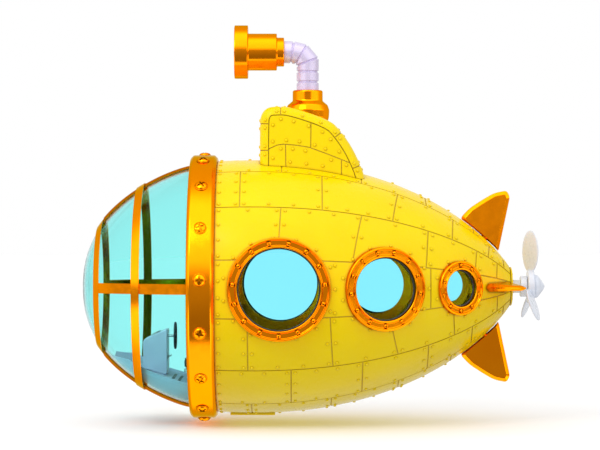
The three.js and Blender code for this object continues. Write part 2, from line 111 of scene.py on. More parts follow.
# ---- Driving dimensions ----

# Outlines of revolution: r = radius * (1 - (|x - centre| / length) ^ fullness) ^ power
HULL = {"centre": -0.550, "length": 2.387, "radius": 1.135, "fullness": 2.147, "power": 0.7025}
CANOPY = {"centre": -1.080, "length": 0.996, "radius": 1.061, "fullness": 1.323, "power": 0.431}
BAND_FRONT = low("bow_band").x
BAND_REAR = high("bow_band").x
BAND_RADIUS = high("bow_band").z
BAND_BORE = 1.030
CANOPY_WALL = 0.020
TAIL_X = low("tail_plate").x
SHAFT_BORE = 0.027
TRUNK = {"fore": -0.38, "aft": 0.30, "half": 0.24}
FIN_SWEEP = {"from": 1.24, "beside": 0.17}

PORTHOLES = {
    "front": {"x": -0.309, "clear": 0.356, "rim": 0.443, "screws": 15},
    "middle": {"x": 0.611, "clear": 0.274, "rim": 0.362, "screws": 13},
    "rear": {"x": 1.279, "clear": 0.161, "rim": 0.237, "screws": 10},
}
PORT_PROUD = 0.012
PORT_FACE = 0.005
SIDES = {"port": -1, "starboard": 1}

# Seams across each strake, counted upwards from the strake along the port side: place, and how much
# further aft the seam is at its upper end.
STRAKES = 14
SEAMS = {
    3: [(-0.289, 0), (0.416, 0), (0.990, 0), (1.421, 0)],
    2: [(-0.649, 0), (0.066, 0), (0.708, 0.058), (1.220, 0.02), (1.551, 0.02), (1.689, 0)],
    1: [(-0.304, 0.024), (0.366, 0.085), (0.980, 0.025), (1.421, 0.024), (1.619, 0.01)],
    0: [(1.007, 0)],
    -1: [(-0.577, 0), (0.144, -0.026), (0.684, -0.083), (1.220, -0.02), (1.622, 0)],
    -2: [(-0.204, 0), (0.417, 0), (0.997, 0), (1.393, 0), (1.685, 0)],
    -3: [(-0.553, 0), (0.149, 0), (0.743, 0), (1.214, 0)],
}
PLATE = {"step": 0.05, "gap": 0.009, "thickness": 0.0065, "bevel": 0.0045}
RIVET = {"radius": 0.0145, "height": 0.011, "inset": 0.036, "along": 0.205, "across": 0.170}

TOWER_HALF = high("conning_tower").y
TOWER_EDGE = 0.080
TOWER_SHEET = 0.008
TOWER_BACKING = (0.0085, 0.0115)
PANEL_STEPS = 70
CLEAR_OF_TOWER = (-0.52, 0.46)
TOWER_OUTLINE = [
    (-0.484, 0.700), (-0.484, 1.470), (-0.474, 1.525), (-0.445, 1.572), (-0.405, 1.598), (-0.350, 1.605),
    (-0.217, 1.605), (0.143, 1.483), (0.233, 1.389), (0.323, 1.263), (0.393, 1.125), (0.440, 1.010),
    (0.470, 0.860), (0.480, 0.700),
]
CROWN_SEAMS = [(-0.484, 1.212), (-0.484, 1.450), (-0.298, 1.605), (0.245, 1.375), (0.413, 1.083)]
PANEL_SEAMS = [
    [(-0.430, 1.205), (-0.388, 1.233), (-0.330, 1.259), (-0.273, 1.267), (-0.160, 1.258), (-0.044, 1.239),
     (0.129, 1.175), (0.301, 1.107), (0.440, 1.055)],
    [(-0.032, 1.238), (-0.028, 1.600)],
    [(0.323, 1.099), (0.318, 1.400)],
    [(-0.249, 0.900), (-0.255, 1.266)],
    [(0.242, 0.900), (0.240, 1.130)],
]

MAST_X = middle("periscope_mast").x - AMIDSHIPS
MAST_RADIUS = half_size("periscope_mast").y
HEAD_Z = (low("periscope_head").z + high("periscope_head").z) / 2
MAST_PATH = [(MAST_X, 2.019), (-0.115, 2.086), (-0.196, 2.106), (high("periscope_head").x, HEAD_Z)]


# ---- Shapes ----

class Shape:
    """Points and faces of closed bodies."""

    def __init__(self):
        self.points = []
        self.faces = []

    def point(self, place):
        self.points.append(Vector(place))
        return len(self.points) - 1

    def ring(self, places):
        return [self.point(place) for place in places]

    def add(self, other, place=Matrix()):
        first = len(self.points)
        self.points += [place @ point for point in other.points]
        self.faces += [[first + i for i in face] for face in other.faces]
        return self

    def bridge(self, ring, following):
        """Faces between two closed rings, either of which may be a single point."""
        count = max(len(ring), len(following))
        for i in range(count if count > 1 else 0):
            j = (i + 1) % count
            corners = [ring[i % len(ring)], ring[j % len(ring)]]
            corners += [following[j % len(following)], following[i % len(following)]]
            self.faces.append(list(dict.fromkeys(corners)))

    def sheet(self, rows):
        for row, following in zip(rows, rows[1:]):
            for i in range(len(row) - 1):
                self.faces.append([row[i], row[i + 1], following[i + 1], following[i]])

    def skin(self, rings):
        """A closed body through open-ended rings, with a flat face over each end."""
        for ring, following in zip(rings, rings[1:]):
            self.bridge(ring, following)
        for end in (rings[0], rings[-1]):
            if len(end) > 2:
                self.faces.append(list(end))
        return self

    def mesh(self, name):
        made = bpy.data.meshes.new(name)
        made.from_pydata([tuple(point) for point in self.points], [], self.faces)
        body = bmesh.new()
        body.from_mesh(made)
        bmesh.ops.recalc_face_normals(body, faces=body.faces)
        body.to_mesh(made)
        body.free()
        return made


def placed(shape, place):
    return Shape().add(shape, place)


def shape_of(mesh):
    made = Shape()
    made.points = [vertex.co.copy() for vertex in mesh.vertices]
    made.faces = [list(face.vertices) for face in mesh.polygons]
    return made


def linked(name, mesh):
    made = bpy.data.objects.new(name, mesh)
    SCENE.collection.objects.link(made)
    return made


def evaluated(item):
    """The item's mesh with its modifiers applied, as a new mesh."""
    graph = bpy.context.evaluated_depsgraph_get()
    return bpy.data.meshes.new_from_object(item.evaluated_get(graph))


def combined(shape, tool, operation="DIFFERENCE"):
    """The shape cut by, or joined with, the tool."""
    items = [linked("work", shape.mesh("work")), linked("tool", tool.mesh("tool"))]
    modifier = items[0].modifiers.new("combine", "BOOLEAN")
    modifier.operation = operation
    modifier.solver = "EXACT"
    modifier.object = items[1]
    made = shape_of(evaluated(items[0]))
    for item in items:
        bpy.data.objects.remove(item)
    return made


def circle(count, offset=0):
    """Angles of equal steps round a circle."""
    return [2 * math.pi * (i + offset) / count for i in range(count)]


def turned(profile, segments=96):
    """A closed (along, radius) profile turned round +X."""
    made = Shape()
    angles = circle(segments)
    rings = []
    for along, radius in profile:
        if radius < 1e-6:
            rings.append([made.point((along, 0, 0))])
        else:
            rings.append(made.ring((along, -radius * math.cos(a), radius * math.sin(a)) for a in angles))
    for ring, following in zip(rings, rings[1:] + rings[:1]):
        made.bridge(ring, following)
    return made


def rounded(corners, size, steps=3):
    """A closed outline with its corners rounded, apart from those on the axis."""
    outline = []
    for i, corner in enumerate(corners):
        here = Vector(corner)
        before = Vector(corners[i - 1]) - here
        after = Vector(corners[(i + 1) % len(corners)]) - here
        reach = min(size, 0.45 * before.length, 0.45 * after.length)
        if abs(here.y) < 1e-6:
            outline.append(here)
            continue
        start = here + before.normalized() * reach
        end = here + after.normalized() * reach
        for step in range(steps + 1):
            t = step / steps
            outline.append(start * (1 - t) ** 2 + here * 2 * t * (1 - t) + end * t * t)
    return outline


def block(corner, opposite):
    made = Shape()
    rings = []
    for z in (corner[2], opposite[2]):
        rings.append(made.ring([
            (corner[0], corner[1], z), (opposite[0], corner[1], z),
            (opposite[0], opposite[1], z), (corner[0], opposite[1], z),
        ]))
    return made.skin(rings)


def inset(outline, distance):
    """A closed anticlockwise or clockwise outline moved inwards, point by point."""
    points = [Vector(p) for p in outline]
    area = sum(a.x * b.y - b.x * a.y for a, b in zip(points, points[1:] + points[:1]))
    turn = math.copysign(distance, area)
    moved = []
    for i, here in enumerate(points):
        before = (here - points[i - 1]).normalized()
        after = (points[(i + 1) % len(points)] - here).normalized()
        inwards = Vector((-before.y - after.y, before.x + after.x))
        inwards.normalize()
        lean = max(0.3, inwards.dot(Vector((-after.y, after.x))))
        moved.append(here + inwards * turn / lean)
    return moved


def pillow(outline, half, edge, steps=4):
    """An (x, z) outline as wide as two halves across Y, with round edges."""
    made = Shape()
    rings = []
    for side in (-1, 1):
        turns = [math.pi / 2 * k / steps for k in range(steps + 1)]
        for turn in reversed(turns) if side < 0 else turns:
            y = side * (half - edge + edge * math.sin(turn))
            rings.append(made.ring((p.x, y, p.y) for p in inset(outline, edge * (1 - math.cos(turn)))))
    return made.skin(rings)


def hoop(places, radius, sides):
    """A closed round tube through the places."""
    made = Shape()
    up = Vector((0.13, 0.21, 0.97))
    rings = []
    for i, here in enumerate(places):
        along = (places[(i + 1) % len(places)] - places[i - 1]).normalized()
        up = (up - along * up.dot(along)).normalized()
        across = along.cross(up)
        rings.append(made.ring(
            here + radius * (up * math.cos(turn) + across * math.sin(turn)) for turn in circle(sides)))
    for ring, following in zip(rings, rings[1:]):
        made.bridge(ring, following)
    first = made.points[rings[0][0]]
    start = min(range(sides), key=lambda k: (made.points[rings[-1][k]] - first).length)
    made.bridge(rings[-1][start:] + rings[-1][:start], rings[0])
    return made


def rod(start, end, radius, sides=20):
    """A round bar with slightly rounded ends."""
    start, end = Vector(start), Vector(end)
    length = (end - start).length
    profile = rounded([(0, 0), (0, radius), (length, radius), (length, 0)], 0.001, 2)
    return placed(turned(profile, sides), facing(start, end - start))


def facing(centre, outwards):
    """The place whose +X points outwards from the centre."""
    turn = Vector(outwards).to_track_quat("X", "Z").to_matrix().to_4x4()
    return Matrix.Translation(centre) @ turn


UPRIGHT = Matrix.Rotation(math.radians(-90), 4, "Y")


def spun(angle):
    return Matrix.Rotation(angle, 4, "X")


def dome(radius, height, segments, steps):
    """A low dome standing along +X, with its foot just under the surface."""
    foot = -0.003
    profile = [(foot, 0), (foot, radius)]
    for k in range(steps + 1):
        turn = math.pi / 2 * k / steps
        profile.append((height * math.sin(turn), radius * math.cos(turn) ** 0.8 if k < steps else 0))
    return turned(profile, segments)


def slotted(radius, height, slots, segments=28):
    """A domed screw head with one straight slot, or two that cross."""
    head = dome(radius, height, segments, 6)
    depth = 0.45 * height
    width = 0.16 * radius
    for k in range(slots):
        bar = block((height - depth, -width, -1.1 * radius), (2 * height, width, 1.1 * radius))
        head = combined(head, placed(bar, spun(k * math.pi / 2)))
    return head


# ---- Materials ----

RANGE_SOCKETS = ("From Min", "From Max", "To Min", "To Max")


class Look:
    """A procedural material: a Principled shader and the nodes that feed it."""

    def __init__(self, name, **sockets):
        self.material = bpy.data.materials.new(name)
        self.material.use_nodes = True
        self.tree = self.material.node_tree
        self.shader = self.tree.nodes["Principled BSDF"]
        self.place = self.node("ShaderNodeTexCoord").outputs["Object"]
        for socket, value in sockets.items():
            self.shader.inputs[socket.replace("_", " ")].default_value = value

    def node(self, kind, **inputs):
        made = self.tree.nodes.new(kind)
        for name, value in inputs.items():
            socket = made.inputs[name.replace("_", " ")]
            if isinstance(value, bpy.types.NodeSocket):
                self.tree.links.new(value, socket)
            else:
                socket.default_value = value
        return made

    def noise(self, scale, detail=3.0, stretch=(1, 1, 1)):
        place = self.node("ShaderNodeMapping", Vector=self.place, Scale=stretch).outputs["Vector"]
        return self.node("ShaderNodeTexNoise", Vector=place, Scale=scale, Detail=detail).outputs[0]

    def ranged(self, value, start, end, low_value, high_value):
        made = self.node("ShaderNodeMapRange", Value=value)
        for name, number in zip(RANGE_SOCKETS, (start, end, low_value, high_value)):
            made.inputs[name].default_value = number
        return made.outputs[0]

    def mixed(self, factor, first, second):
        made = self.tree.nodes.new("ShaderNodeMix")
        made.data_type = "RGBA"
        self.tree.links.new(factor, made.inputs["Factor"])
        for socket, colour in ((made.inputs[6], first), (made.inputs[7], second)):
            if isinstance(colour, bpy.types.NodeSocket):
                self.tree.links.new(colour, socket)
            else:
                socket.default_value = (*colour, 1)
        return made.outputs[2]

    def feed(self, name, value):
        self.tree.links.new(value, self.shader.inputs[name])

    def bump(self, height, distance, strength=1.0):
        made = self.node("ShaderNodeBump", Height=height, Distance=distance, Strength=strength)
        return made.outputs["Normal"]


def finish(name, light, dark, patch, rough, grain, depth, stretch=(1, 1, 1), painted_shade=None, **sockets):
    """Paint, plastic or metal: two close tones in patches, uneven gloss and a fine grain, with painted shade
    where a shade colour is given: ambient occlusion darkens the tone in tight corners and creases."""
    look = Look(name, **sockets)
    tone = look.mixed(look.ranged(look.noise(patch, 4), 0.35, 0.65, 0, 1), dark, light)
    if painted_shade:
        # Painted shade: ambient occlusion darkens the colour in corners, creases and round small parts.
        shade = look.node("ShaderNodeAmbientOcclusion", Distance=0.026)
        shade.samples = 6
        tone = look.mixed(look.ranged(shade.outputs["AO"], 0.45, 0.98, 0, 1), painted_shade, tone)
    look.feed("Base Color", tone)
    gloss = look.noise(patch * 5, 6, stretch)
    look.feed("Roughness", look.ranged(gloss, 0.3, 0.7, rough[0], rough[1]))
    look.feed("Normal", look.bump(look.noise(grain, 2, stretch), depth))
    return look.material


def glass(name, tint, thick=False):
    """Clear tinted glazing with a faint film of uneven gloss; thick glazing is smoky at its edges."""
    look = Look(name, Transmission_Weight=1.0, IOR=1.12, Specular_Tint=(0.16, 0.22, 0.30, 1))
    look.feed("Base Color", look.mixed(look.noise(1.5), tint, [min(1, c * 1.03) for c in tint]))
    look.feed("Roughness", look.ranged(look.noise(6, 5), 0.4, 0.8, 0.0, 0.015))
    if thick:
        smoky = look.tree.nodes.new("ShaderNodeVolumeAbsorption")
        smoky.inputs["Color"].default_value = (0.06, 0.14, 0.18, 1)
        smoky.inputs["Density"].default_value = 2.6
        look.tree.links.new(smoky.outputs[0], look.tree.nodes["Material Output"].inputs["Volume"])
    return look.material


def fabric(name, light, dark, pitch):
    """A plain weave of threads along all three directions, with a soft sheen."""
    look = Look(name, Sheen_Weight=0.35, Sheen_Roughness=0.5)
    waves = []
    for direction in ("X", "Y", "Z"):
        wave = look.node("ShaderNodeTexWave", Vector=look.place, Scale=0.314 / pitch, Distortion=0.6)
        wave.bands_direction = direction
        waves.append(wave.outputs["Fac"])
    pairs = look.node("ShaderNodeMath")
    pairs.operation = "MULTIPLY"
    for i in (0, 1):
        look.tree.links.new(waves[i], pairs.inputs[i])
    weave = look.node("ShaderNodeMath")
    weave.operation = "MAXIMUM"
    look.tree.links.new(pairs.outputs[0], weave.inputs[0])
    look.tree.links.new(look.ranged(waves[2], 0, 1, 0, 0.8), weave.inputs[1])
    height = weave.outputs[0]
    worn = look.mixed(look.ranged(look.noise(9, 5), 0.35, 0.7, 0, 1), dark, light)
    look.feed("Base Color", look.mixed(look.ranged(height, 0, 1, 0.55, 0), worn, dark))
    look.feed("Roughness", look.ranged(look.noise(30, 4), 0.3, 0.7, 0.72, 0.9))
    look.feed("Normal", look.bump(height, pitch * 0.35, 0.7))
    return look.material


# The brown-yellow tone is painted shade: ambient occlusion lays it round the rivets, in the seams and in other tight
# corners.
YELLOW = finish(
    "hull_enamel", (0.98, 0.730, 0.001), (0.96, 0.69, 0.001), 2.2, (0.20, 0.34), 160, 0.00035,
    painted_shade=(0.46, 0.27, 0.002), IOR=1.22, Coat_Weight=0.08, Coat_Roughness=0.06, Coat_IOR=1.25)
GROOVE = finish("seam_shadow", (0.74, 0.50, 0.008), (0.66, 0.43, 0.007), 6, (0.5, 0.7), 120, 0.0004)
LINING = finish("cabin_lining", (0.62, 0.70, 0.76), (0.56, 0.64, 0.71), 5, (0.45, 0.6), 200, 0.0004)
GOLD = finish(
    "polished_brass", (1.0, 0.290, 0.002), (0.97, 0.265, 0.0015), 3.0, (0.13, 0.22), 260, 0.00012, Metallic=1.0,
    Specular_Tint=(0.72, 0.66, 0.07, 1))
# The near-black brown is painted shade: ambient occlusion darkens the screw slots and the rings round the heads.
BOLT = finish(
    "bolt_brass", (1.0, 0.290, 0.002), (0.97, 0.265, 0.0015), 9.0, (0.15, 0.26), 400, 0.00010,
    painted_shade=(0.05, 0.012, 0.0005), Metallic=1.0, Specular_Tint=(0.72, 0.66, 0.07, 1))
WHITE = finish(
    "white_enamel", (0.80, 0.84, 0.93), (0.74, 0.78, 0.87), 5, (0.22, 0.36), 220, 0.0002, Coat_Weight=0.3,
    Coat_Roughness=0.08)
LILAC = finish(
    "mast_enamel", (0.70, 0.62, 0.84), (0.64, 0.56, 0.78), 6, (0.24, 0.38), 240, 0.0002, Metallic=0.15,
    Coat_Weight=0.4, Coat_Roughness=0.08)
DECK = finish("deck_paint", (0.62, 0.66, 0.84), (0.56, 0.60, 0.78), 6, (0.42, 0.60), 420, 0.0009)
PANEL = finish(
    "console_paint", (0.74, 0.70, 0.88), (0.68, 0.64, 0.82), 7, (0.34, 0.48), 500, 0.0003, Coat_Weight=0.2)
BLACK = finish("black_plastic", (0.030, 0.031, 0.034), (0.020, 0.021, 0.023), 12, (0.38, 0.55), 700, 0.0004)
STEEL = finish(
    "brushed_steel", (0.62, 0.63, 0.65), (0.52, 0.53, 0.55), 8, (0.22, 0.40), 900, 0.0001, (0.05, 1, 1),
    Metallic=1.0)
MOTOR = finish("motor_paint", (0.10, 0.13, 0.16), (0.07, 0.09, 0.12), 8, (0.4, 0.55), 420, 0.0006)
DIAL = finish("dial_face", (0.86, 0.86, 0.82), (0.80, 0.80, 0.77), 20, (0.35, 0.45), 600, 0.0001)
CANOPY_GLASS = glass("canopy_glazing", (0.57, 0.995, 0.97), thick=True)
PORT_GLASS = glass("porthole_glazing", (0.49, 0.915, 0.995))
LENS_GLASS = glass("lens_glazing", (0.06, 0.16, 0.26))
CLOTH = fabric("seat_weave", (0.060, 0.068, 0.050), (0.022, 0.026, 0.020), 0.0035)
THREAD = finish("welt_cord", (0.050, 0.056, 0.045), (0.030, 0.034, 0.028), 40, (0.6, 0.8), 900, 0.0004)


# ---- Pieces ----

def piece(name, shape, material, stands_for=(), body="hull", crease=40, weighted=True):
    """One visible piece, riding its body in place of the CAD nodes it stands for."""
    mesh = shape.mesh(name)
    mesh.transform(TO_FRAME)
    mesh.shade_smooth()
    mesh.set_sharp_from_angle(angle=math.radians(crease))
    mesh.materials.append(material)
    made = linked(name, mesh)
    if weighted:
        made.modifiers.new("weighted", "WEIGHTED_NORMAL").keep_sharp = True
    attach(made, body)
    if stands_for:
        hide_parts(*stands_for)
    return made


def softened(item, width):
    """Rounded edges, added after the shape is cut."""
    modifier = item.modifiers.new("edges", "BEVEL")
    modifier.width = width
    modifier.segments = 2
    modifier.limit_method = "ANGLE"
    modifier.angle_limit = math.radians(40)
    modifier.use_clamp_overlap = True
    return item


def kept(node, material, edge=0.0):
    """A CAD node that stays, with a finished material and softened edges."""
    item = frame["nodes"][node]
    for slot in item.material_slots:
        slot.link = "OBJECT"
        slot.material = material
    if edge:
        item.modifiers.new("weld", "WELD").merge_threshold = 0.00002
        softened(item, edge)


def clear(item):
    """Lets light through a glazed piece."""
    item.visible_shadow = False
    return item


# ---- Curved surfaces and plates ----

def outline_radius(outline, x, grown=0.0):
    share = min(1.0, abs(x - outline["centre"]) / (outline["length"] + grown))
    return (outline["radius"] + grown) * (1 - share ** outline["fullness"]) ** outline["power"]


def on(outline, grown=0.0):
    """The surface of an outline: x, the angle up from the port side, and the depth under it."""
    def surface(x, angle, depth=0.0):
        radius = outline_radius(outline, x, grown - depth)
        return Vector((x, -radius * math.cos(angle), radius * math.sin(angle)))
    return surface


def levels(count, gap, bevel):
    """Lines across a plate, as the share of its length, a distance from there, and the depth."""
    edge = [(gap / 2, 0.6 * bevel), (gap / 2 + 0.3 * bevel, 0.14 * bevel), (gap / 2 + bevel, 0.0)]
    lines = [(0, offset, depth) for offset, depth in edge]
    lines += [(i / count, 0, 0) for i in range(1, count)]
    lines += [(1, -offset, depth) for offset, depth in reversed(edge)]
    return lines


def plate(surface, ends, sides, across, step, gap, thickness, bevel, sunk=0.0):
    """A closed plate on a surface. ends(share) is where it starts and stops along, at each share of
    its width, sides is where it starts and stops across, and across(along) is metres per unit."""
    start, stop = ends(0.5)
    width = (sides[1] - sides[0]) * across((start + stop) / 2)
    rows = levels(max(2, round(width / step)), gap, bevel)
    columns = levels(max(2, round((stop - start) / step)), gap, bevel)
    made = Shape()
    faces, backs = [], []
    for share, offset, depth in rows:
        start, stop = ends(share)
        face, back = [], []
        for part, shift, fall in columns:
            a = start + (stop - start) * part + shift
            b = sides[0] + (sides[1] - sides[0]) * share + offset / across(a)
            face.append(made.point(surface(a, b, sunk + max(depth, fall))))
            back.append(made.point(surface(a, b, sunk + thickness)))
        faces.append(face)
        backs.append(back)
    made.sheet(faces)
    made.sheet(backs)
    edges = []
    for rows in (faces, backs):
        right = [row[-1] for row in rows[1:-1]]
        left = [row[0] for row in rows[1:-1]]
        edges.append(rows[0] + right + rows[-1][::-1] + left[::-1])
    made.bridge(*edges)
    return made


def riveted(ends, sides, across):
    """Places for rivets round the edge of a plate."""
    distance = RIVET["inset"]
    places = []
    for share in (0, 1):
        start, stop = ends(share)
        length = stop - start - 2 * distance
        if length < distance:
            continue
        count = max(1, round(length / RIVET["along"]))
        for i in range(count + 1):
            a = start + distance + length * i / count
            offset = distance / across(a)
            places.append((a, sides[0] + offset if share == 0 else sides[1] - offset))
    for end, shift in ((0, distance), (1, -distance)):
        whole = (sides[1] - sides[0]) * across(ends(0.5)[end])
        width = whole - 2 * distance
        count = round(width / RIVET["across"])
        for i in range(1, count):
            share = (distance + width * i / count) / whole
            places.append((ends(share)[end] + shift, sides[0] + (sides[1] - sides[0]) * share))
    return places


RIVET_HEAD = dome(RIVET["radius"], RIVET["height"], 10, 3)


def stuck_on(surface, a, b):
    """The place on a surface, with +X pointing out of it."""
    return facing(surface(a, b, 0), surface(a, b, 0) - surface(a, b, 0.01))


# ---- Hull ----

def seat_of(port, side):
    """The middle of a porthole on the hull, and the direction it faces."""
    x = port["x"]
    tilt = math.atan((outline_radius(HULL, x - 0.001) - outline_radius(HULL, x + 0.001)) / 0.002)
    return Vector((x, side * outline_radius(HULL, x), 0)), Vector((math.sin(tilt), side * math.cos(tilt), 0))


def axis_distance(place, centre, outwards):
    offset = place - centre
    return (offset - outwards * offset.dot(outwards)).length


def hull_solid(grown):
    """The hull's whole volume, to cut other shapes with."""
    start, stop, steps = BAND_REAR - 0.02, TAIL_X + 0.02, 32
    profile = [(start, 0)]
    for i in range(steps + 1):
        x = start + (stop - start) * i / steps
        profile.append((x, outline_radius(HULL, x) + grown))
    return turned([*profile, (stop, 0)], 112)


def hull_holes():
    """Everything that passes through the plating: portholes, tower trunk and the fins' stocks."""
    holes = Shape()
    for port in PORTHOLES.values():
        for side in SIDES.values():
            hole = turned([(-0.3, 0), (-0.3, port["rim"]), (0.2, port["rim"]), (0.2, 0)], 72)
            holes.add(hole, facing(*seat_of(port, side)))
    holes.add(block((TRUNK["fore"], -TRUNK["half"], 0.8), (TRUNK["aft"], TRUNK["half"], 1.3)))
    for joint, axis in (("rudder_turn", Vector((0, 0, 1))), ("plane_tilt", Vector((0, 1, 0)))):
        for direction in (axis, -axis):
            start = Vector((stock_x(joint), 0, 0)) + direction * 0.2
            holes.add(rod(start, start + direction * 0.5, 0.028))
    return holes


def stock_x(joint_name):
    joint = next(j for j in frame["joints"] if j["name"] == joint_name)
    return joint["pos_m"][0] - AMIDSHIPS


def strakes():
    """Each strake's number from the port side, its own direction up, and its seams."""
    for row in range(-6, 8):
        if row > 3:
            yield row, -1, SEAMS[7 - row]
        elif row < -3:
            yield row, -1, SEAMS[-7 - row]
        else:
            yield row, 1, SEAMS[row]


def near_fin(place):
    """True close to where a fin sweeps over the hull."""
    return place.x > FIN_SWEEP["from"] and min(abs(place.y), abs(place.z)) < FIN_SWEEP["beside"]


def hull():
    surface = on(HULL)
    step = 2 * math.pi / STRAKES
    ports = [(port, *seat_of(port, side)) for port in PORTHOLES.values() for side in SIDES.values()]
    plates = Shape()
    rivets = Shape()

    def girth(x):
        return outline_radius(HULL, x)

    def fits(place):
        near_port = any(
            axis_distance(place, centre, outwards) <= port["rim"] + 0.075 and place.y * outwards.y >= 0
            for port, centre, outwards in ports)
        beside_tower = CLEAR_OF_TOWER[0] < place.x < CLEAR_OF_TOWER[1] and place.z > 0
        in_tower = beside_tower and abs(place.y) < TOWER_HALF + 0.03
        return not (near_port or in_tower or near_fin(place))

    for row, upwards, seams in strakes():
        sides = ((row - 0.5) * step, (row + 0.5) * step)
        stops = [(BAND_REAR, 0), *seams, (TAIL_X, 0)]
        for (x0, lean0), (x1, lean1) in zip(stops, stops[1:]):
            def ends(share, x0=x0, x1=x1, lean0=lean0, lean1=lean1):
                up = upwards * (share - 0.5)
                return x0 + lean0 * up, x1 + lean1 * up
            plates.add(plate(surface, ends, sides, girth, **PLATE))
            for a, b in riveted(ends, sides, girth):
                if fits(surface(a, b)):
                    rivets.add(RIVET_HEAD, stuck_on(surface, a, b))
    for port, centre, outwards in ports:
        across = outwards.cross(Vector((0, 0, 1)))
        reach = port["rim"] + 0.040
        for turn in circle(round(2 * math.pi * reach / 0.2), 0.5):
            place = centre + reach * (across * math.cos(turn) + Vector((0, 0, 1)) * math.sin(turn))
            if not near_fin(place):
                rivets.add(RIVET_HEAD, stuck_on(surface, place.x, math.atan2(place.z, -place.y)))
    holes = hull_holes()
    piece("hull_plating", combined(plates, holes), YELLOW, ["hull_shell"])
    piece("hull_rivets", rivets, YELLOW)
    xs = [BAND_REAR + 0.001 + (TAIL_X - BAND_REAR - 0.002) * i / 40 for i in range(41)]
    layers = (("seam_backing", 0.0068, 0.0095, GROOVE), ("cabin_lining", 0.0100, 0.0125, LINING))
    for name, outer, inner, material in layers:
        profile = [(x, outline_radius(HULL, x, -outer)) for x in xs]
        profile += [(x, outline_radius(HULL, x, -inner)) for x in reversed(xs)]
        piece(name, combined(turned(profile, 112), holes), material)


# ---- Conning tower ----

class Curve:
    """A smooth line through an (x, z) outline, measured along its length."""

    def __init__(self, outline):
        points = [Vector(p) for p in outline]
        for _ in range(3):
            cut = [points[0]]
            for a, b in zip(points, points[1:]):
                cut += [a.lerp(b, 0.25), a.lerp(b, 0.75)]
            points = cut + [points[-1]]
        self.points = points
        self.marks = [0.0]
        for a, b in zip(points, points[1:]):
            self.marks.append(self.marks[-1] + (b - a).length)
        self.length = self.marks[-1]

    def place(self, along):
        along = min(max(along, 0.0), self.length - 1e-6)
        i = max(k for k, mark in enumerate(self.marks) if mark <= along)
        share = (along - self.marks[i]) / (self.marks[i + 1] - self.marks[i])
        return self.points[i].lerp(self.points[i + 1], share)

    def inwards(self, along):
        tangent = (self.place(along + 0.012) - self.place(along - 0.012)).normalized()
        return Vector((tangent.y, -tangent.x))

    def nearest(self, x, z):
        samples = [self.length * i / 600 for i in range(601)]
        return min(samples, key=lambda along: (self.place(along) - Vector((x, z))).length)


TOWER_CURVE = Curve(TOWER_OUTLINE)
CROWN_REACH = TOWER_HALF - TOWER_EDGE + TOWER_EDGE * math.pi / 2


def crown(along, across, depth=0.0):
    """The tower's rim: its length along, the distance across from the middle, and the depth."""
    flat = TOWER_HALF - TOWER_EDGE
    turn = max(0.0, abs(across) - flat) / TOWER_EDGE
    reach = TOWER_EDGE - depth
    place = TOWER_CURVE.place(along) + TOWER_CURVE.inwards(along) * (TOWER_EDGE - reach * math.cos(turn))
    return Vector((place.x, math.copysign(min(abs(across), flat) + reach * math.sin(turn), across), place.y))


def panel_outline(distance, count=PANEL_STEPS):
    """The tower's flat side, inside its round edge."""
    outline = []
    for i in range(count + 1):
        along = TOWER_CURVE.length * i / count
        outline.append(TOWER_CURVE.place(along) + TOWER_CURVE.inwards(along) * (TOWER_EDGE + distance))
    return outline


def slab(outline, start, stop):
    """An (x, z) outline given a thickness across Y."""
    made = Shape()
    return made.skin([made.ring((p[0], y, p[1]) for p in outline) for y in (start, stop)])


def ribbon(points, width, start, stop):
    """A seam's slot, as wide as given, along the points."""
    points = [Vector(p) for p in points]
    left, right = [], []
    for i, here in enumerate(points):
        along = (points[min(i + 1, len(points) - 1)] - points[max(i - 1, 0)]).normalized()
        aside = Vector((-along.y, along.x)) * width / 2
        left.append(here + aside)
        right.append(here - aside)
    return slab(left + right[::-1], start, stop)


def hull_beside_tower(x):
    """How high the hull is where the tower's side meets it."""
    return math.sqrt(outline_radius(HULL, x) ** 2 - TOWER_HALF ** 2)


def panel_rivets():
    """Places for rivets on the tower's side, along its edge and its seams, none too close together."""
    wanted = panel_outline(RIVET["inset"], 16)
    for seam in PANEL_SEAMS:
        points = [Vector(p) for p in seam]
        for a, b in zip(points, points[1:]):
            aside = Vector((a.y - b.y, b.x - a.x)).normalized() * RIVET["inset"]
            for share in (0.2, 0.75) if (b - a).length > 0.1 else (0.5,):
                wanted += [a.lerp(b, share) + aside, a.lerp(b, share) - aside]
    for i in range(6):
        x = -0.36 + 0.145 * i
        wanted.append(Vector((x, hull_beside_tower(x) + 0.045)))
    found = []
    edge = BVHTree.FromPolygons([(p.x, p.y, 0) for p in panel_outline(0.02)], [list(range(PANEL_STEPS + 1))])
    for p in wanted:
        inside = edge.ray_cast(Vector((p.x, p.y, 1)), Vector((0, 0, -1)))[0] is not None
        above = p.y > hull_beside_tower(p.x) + 0.03
        if inside and above and all((p - q).length > 0.085 for q in found):
            found.append(p)
    return found


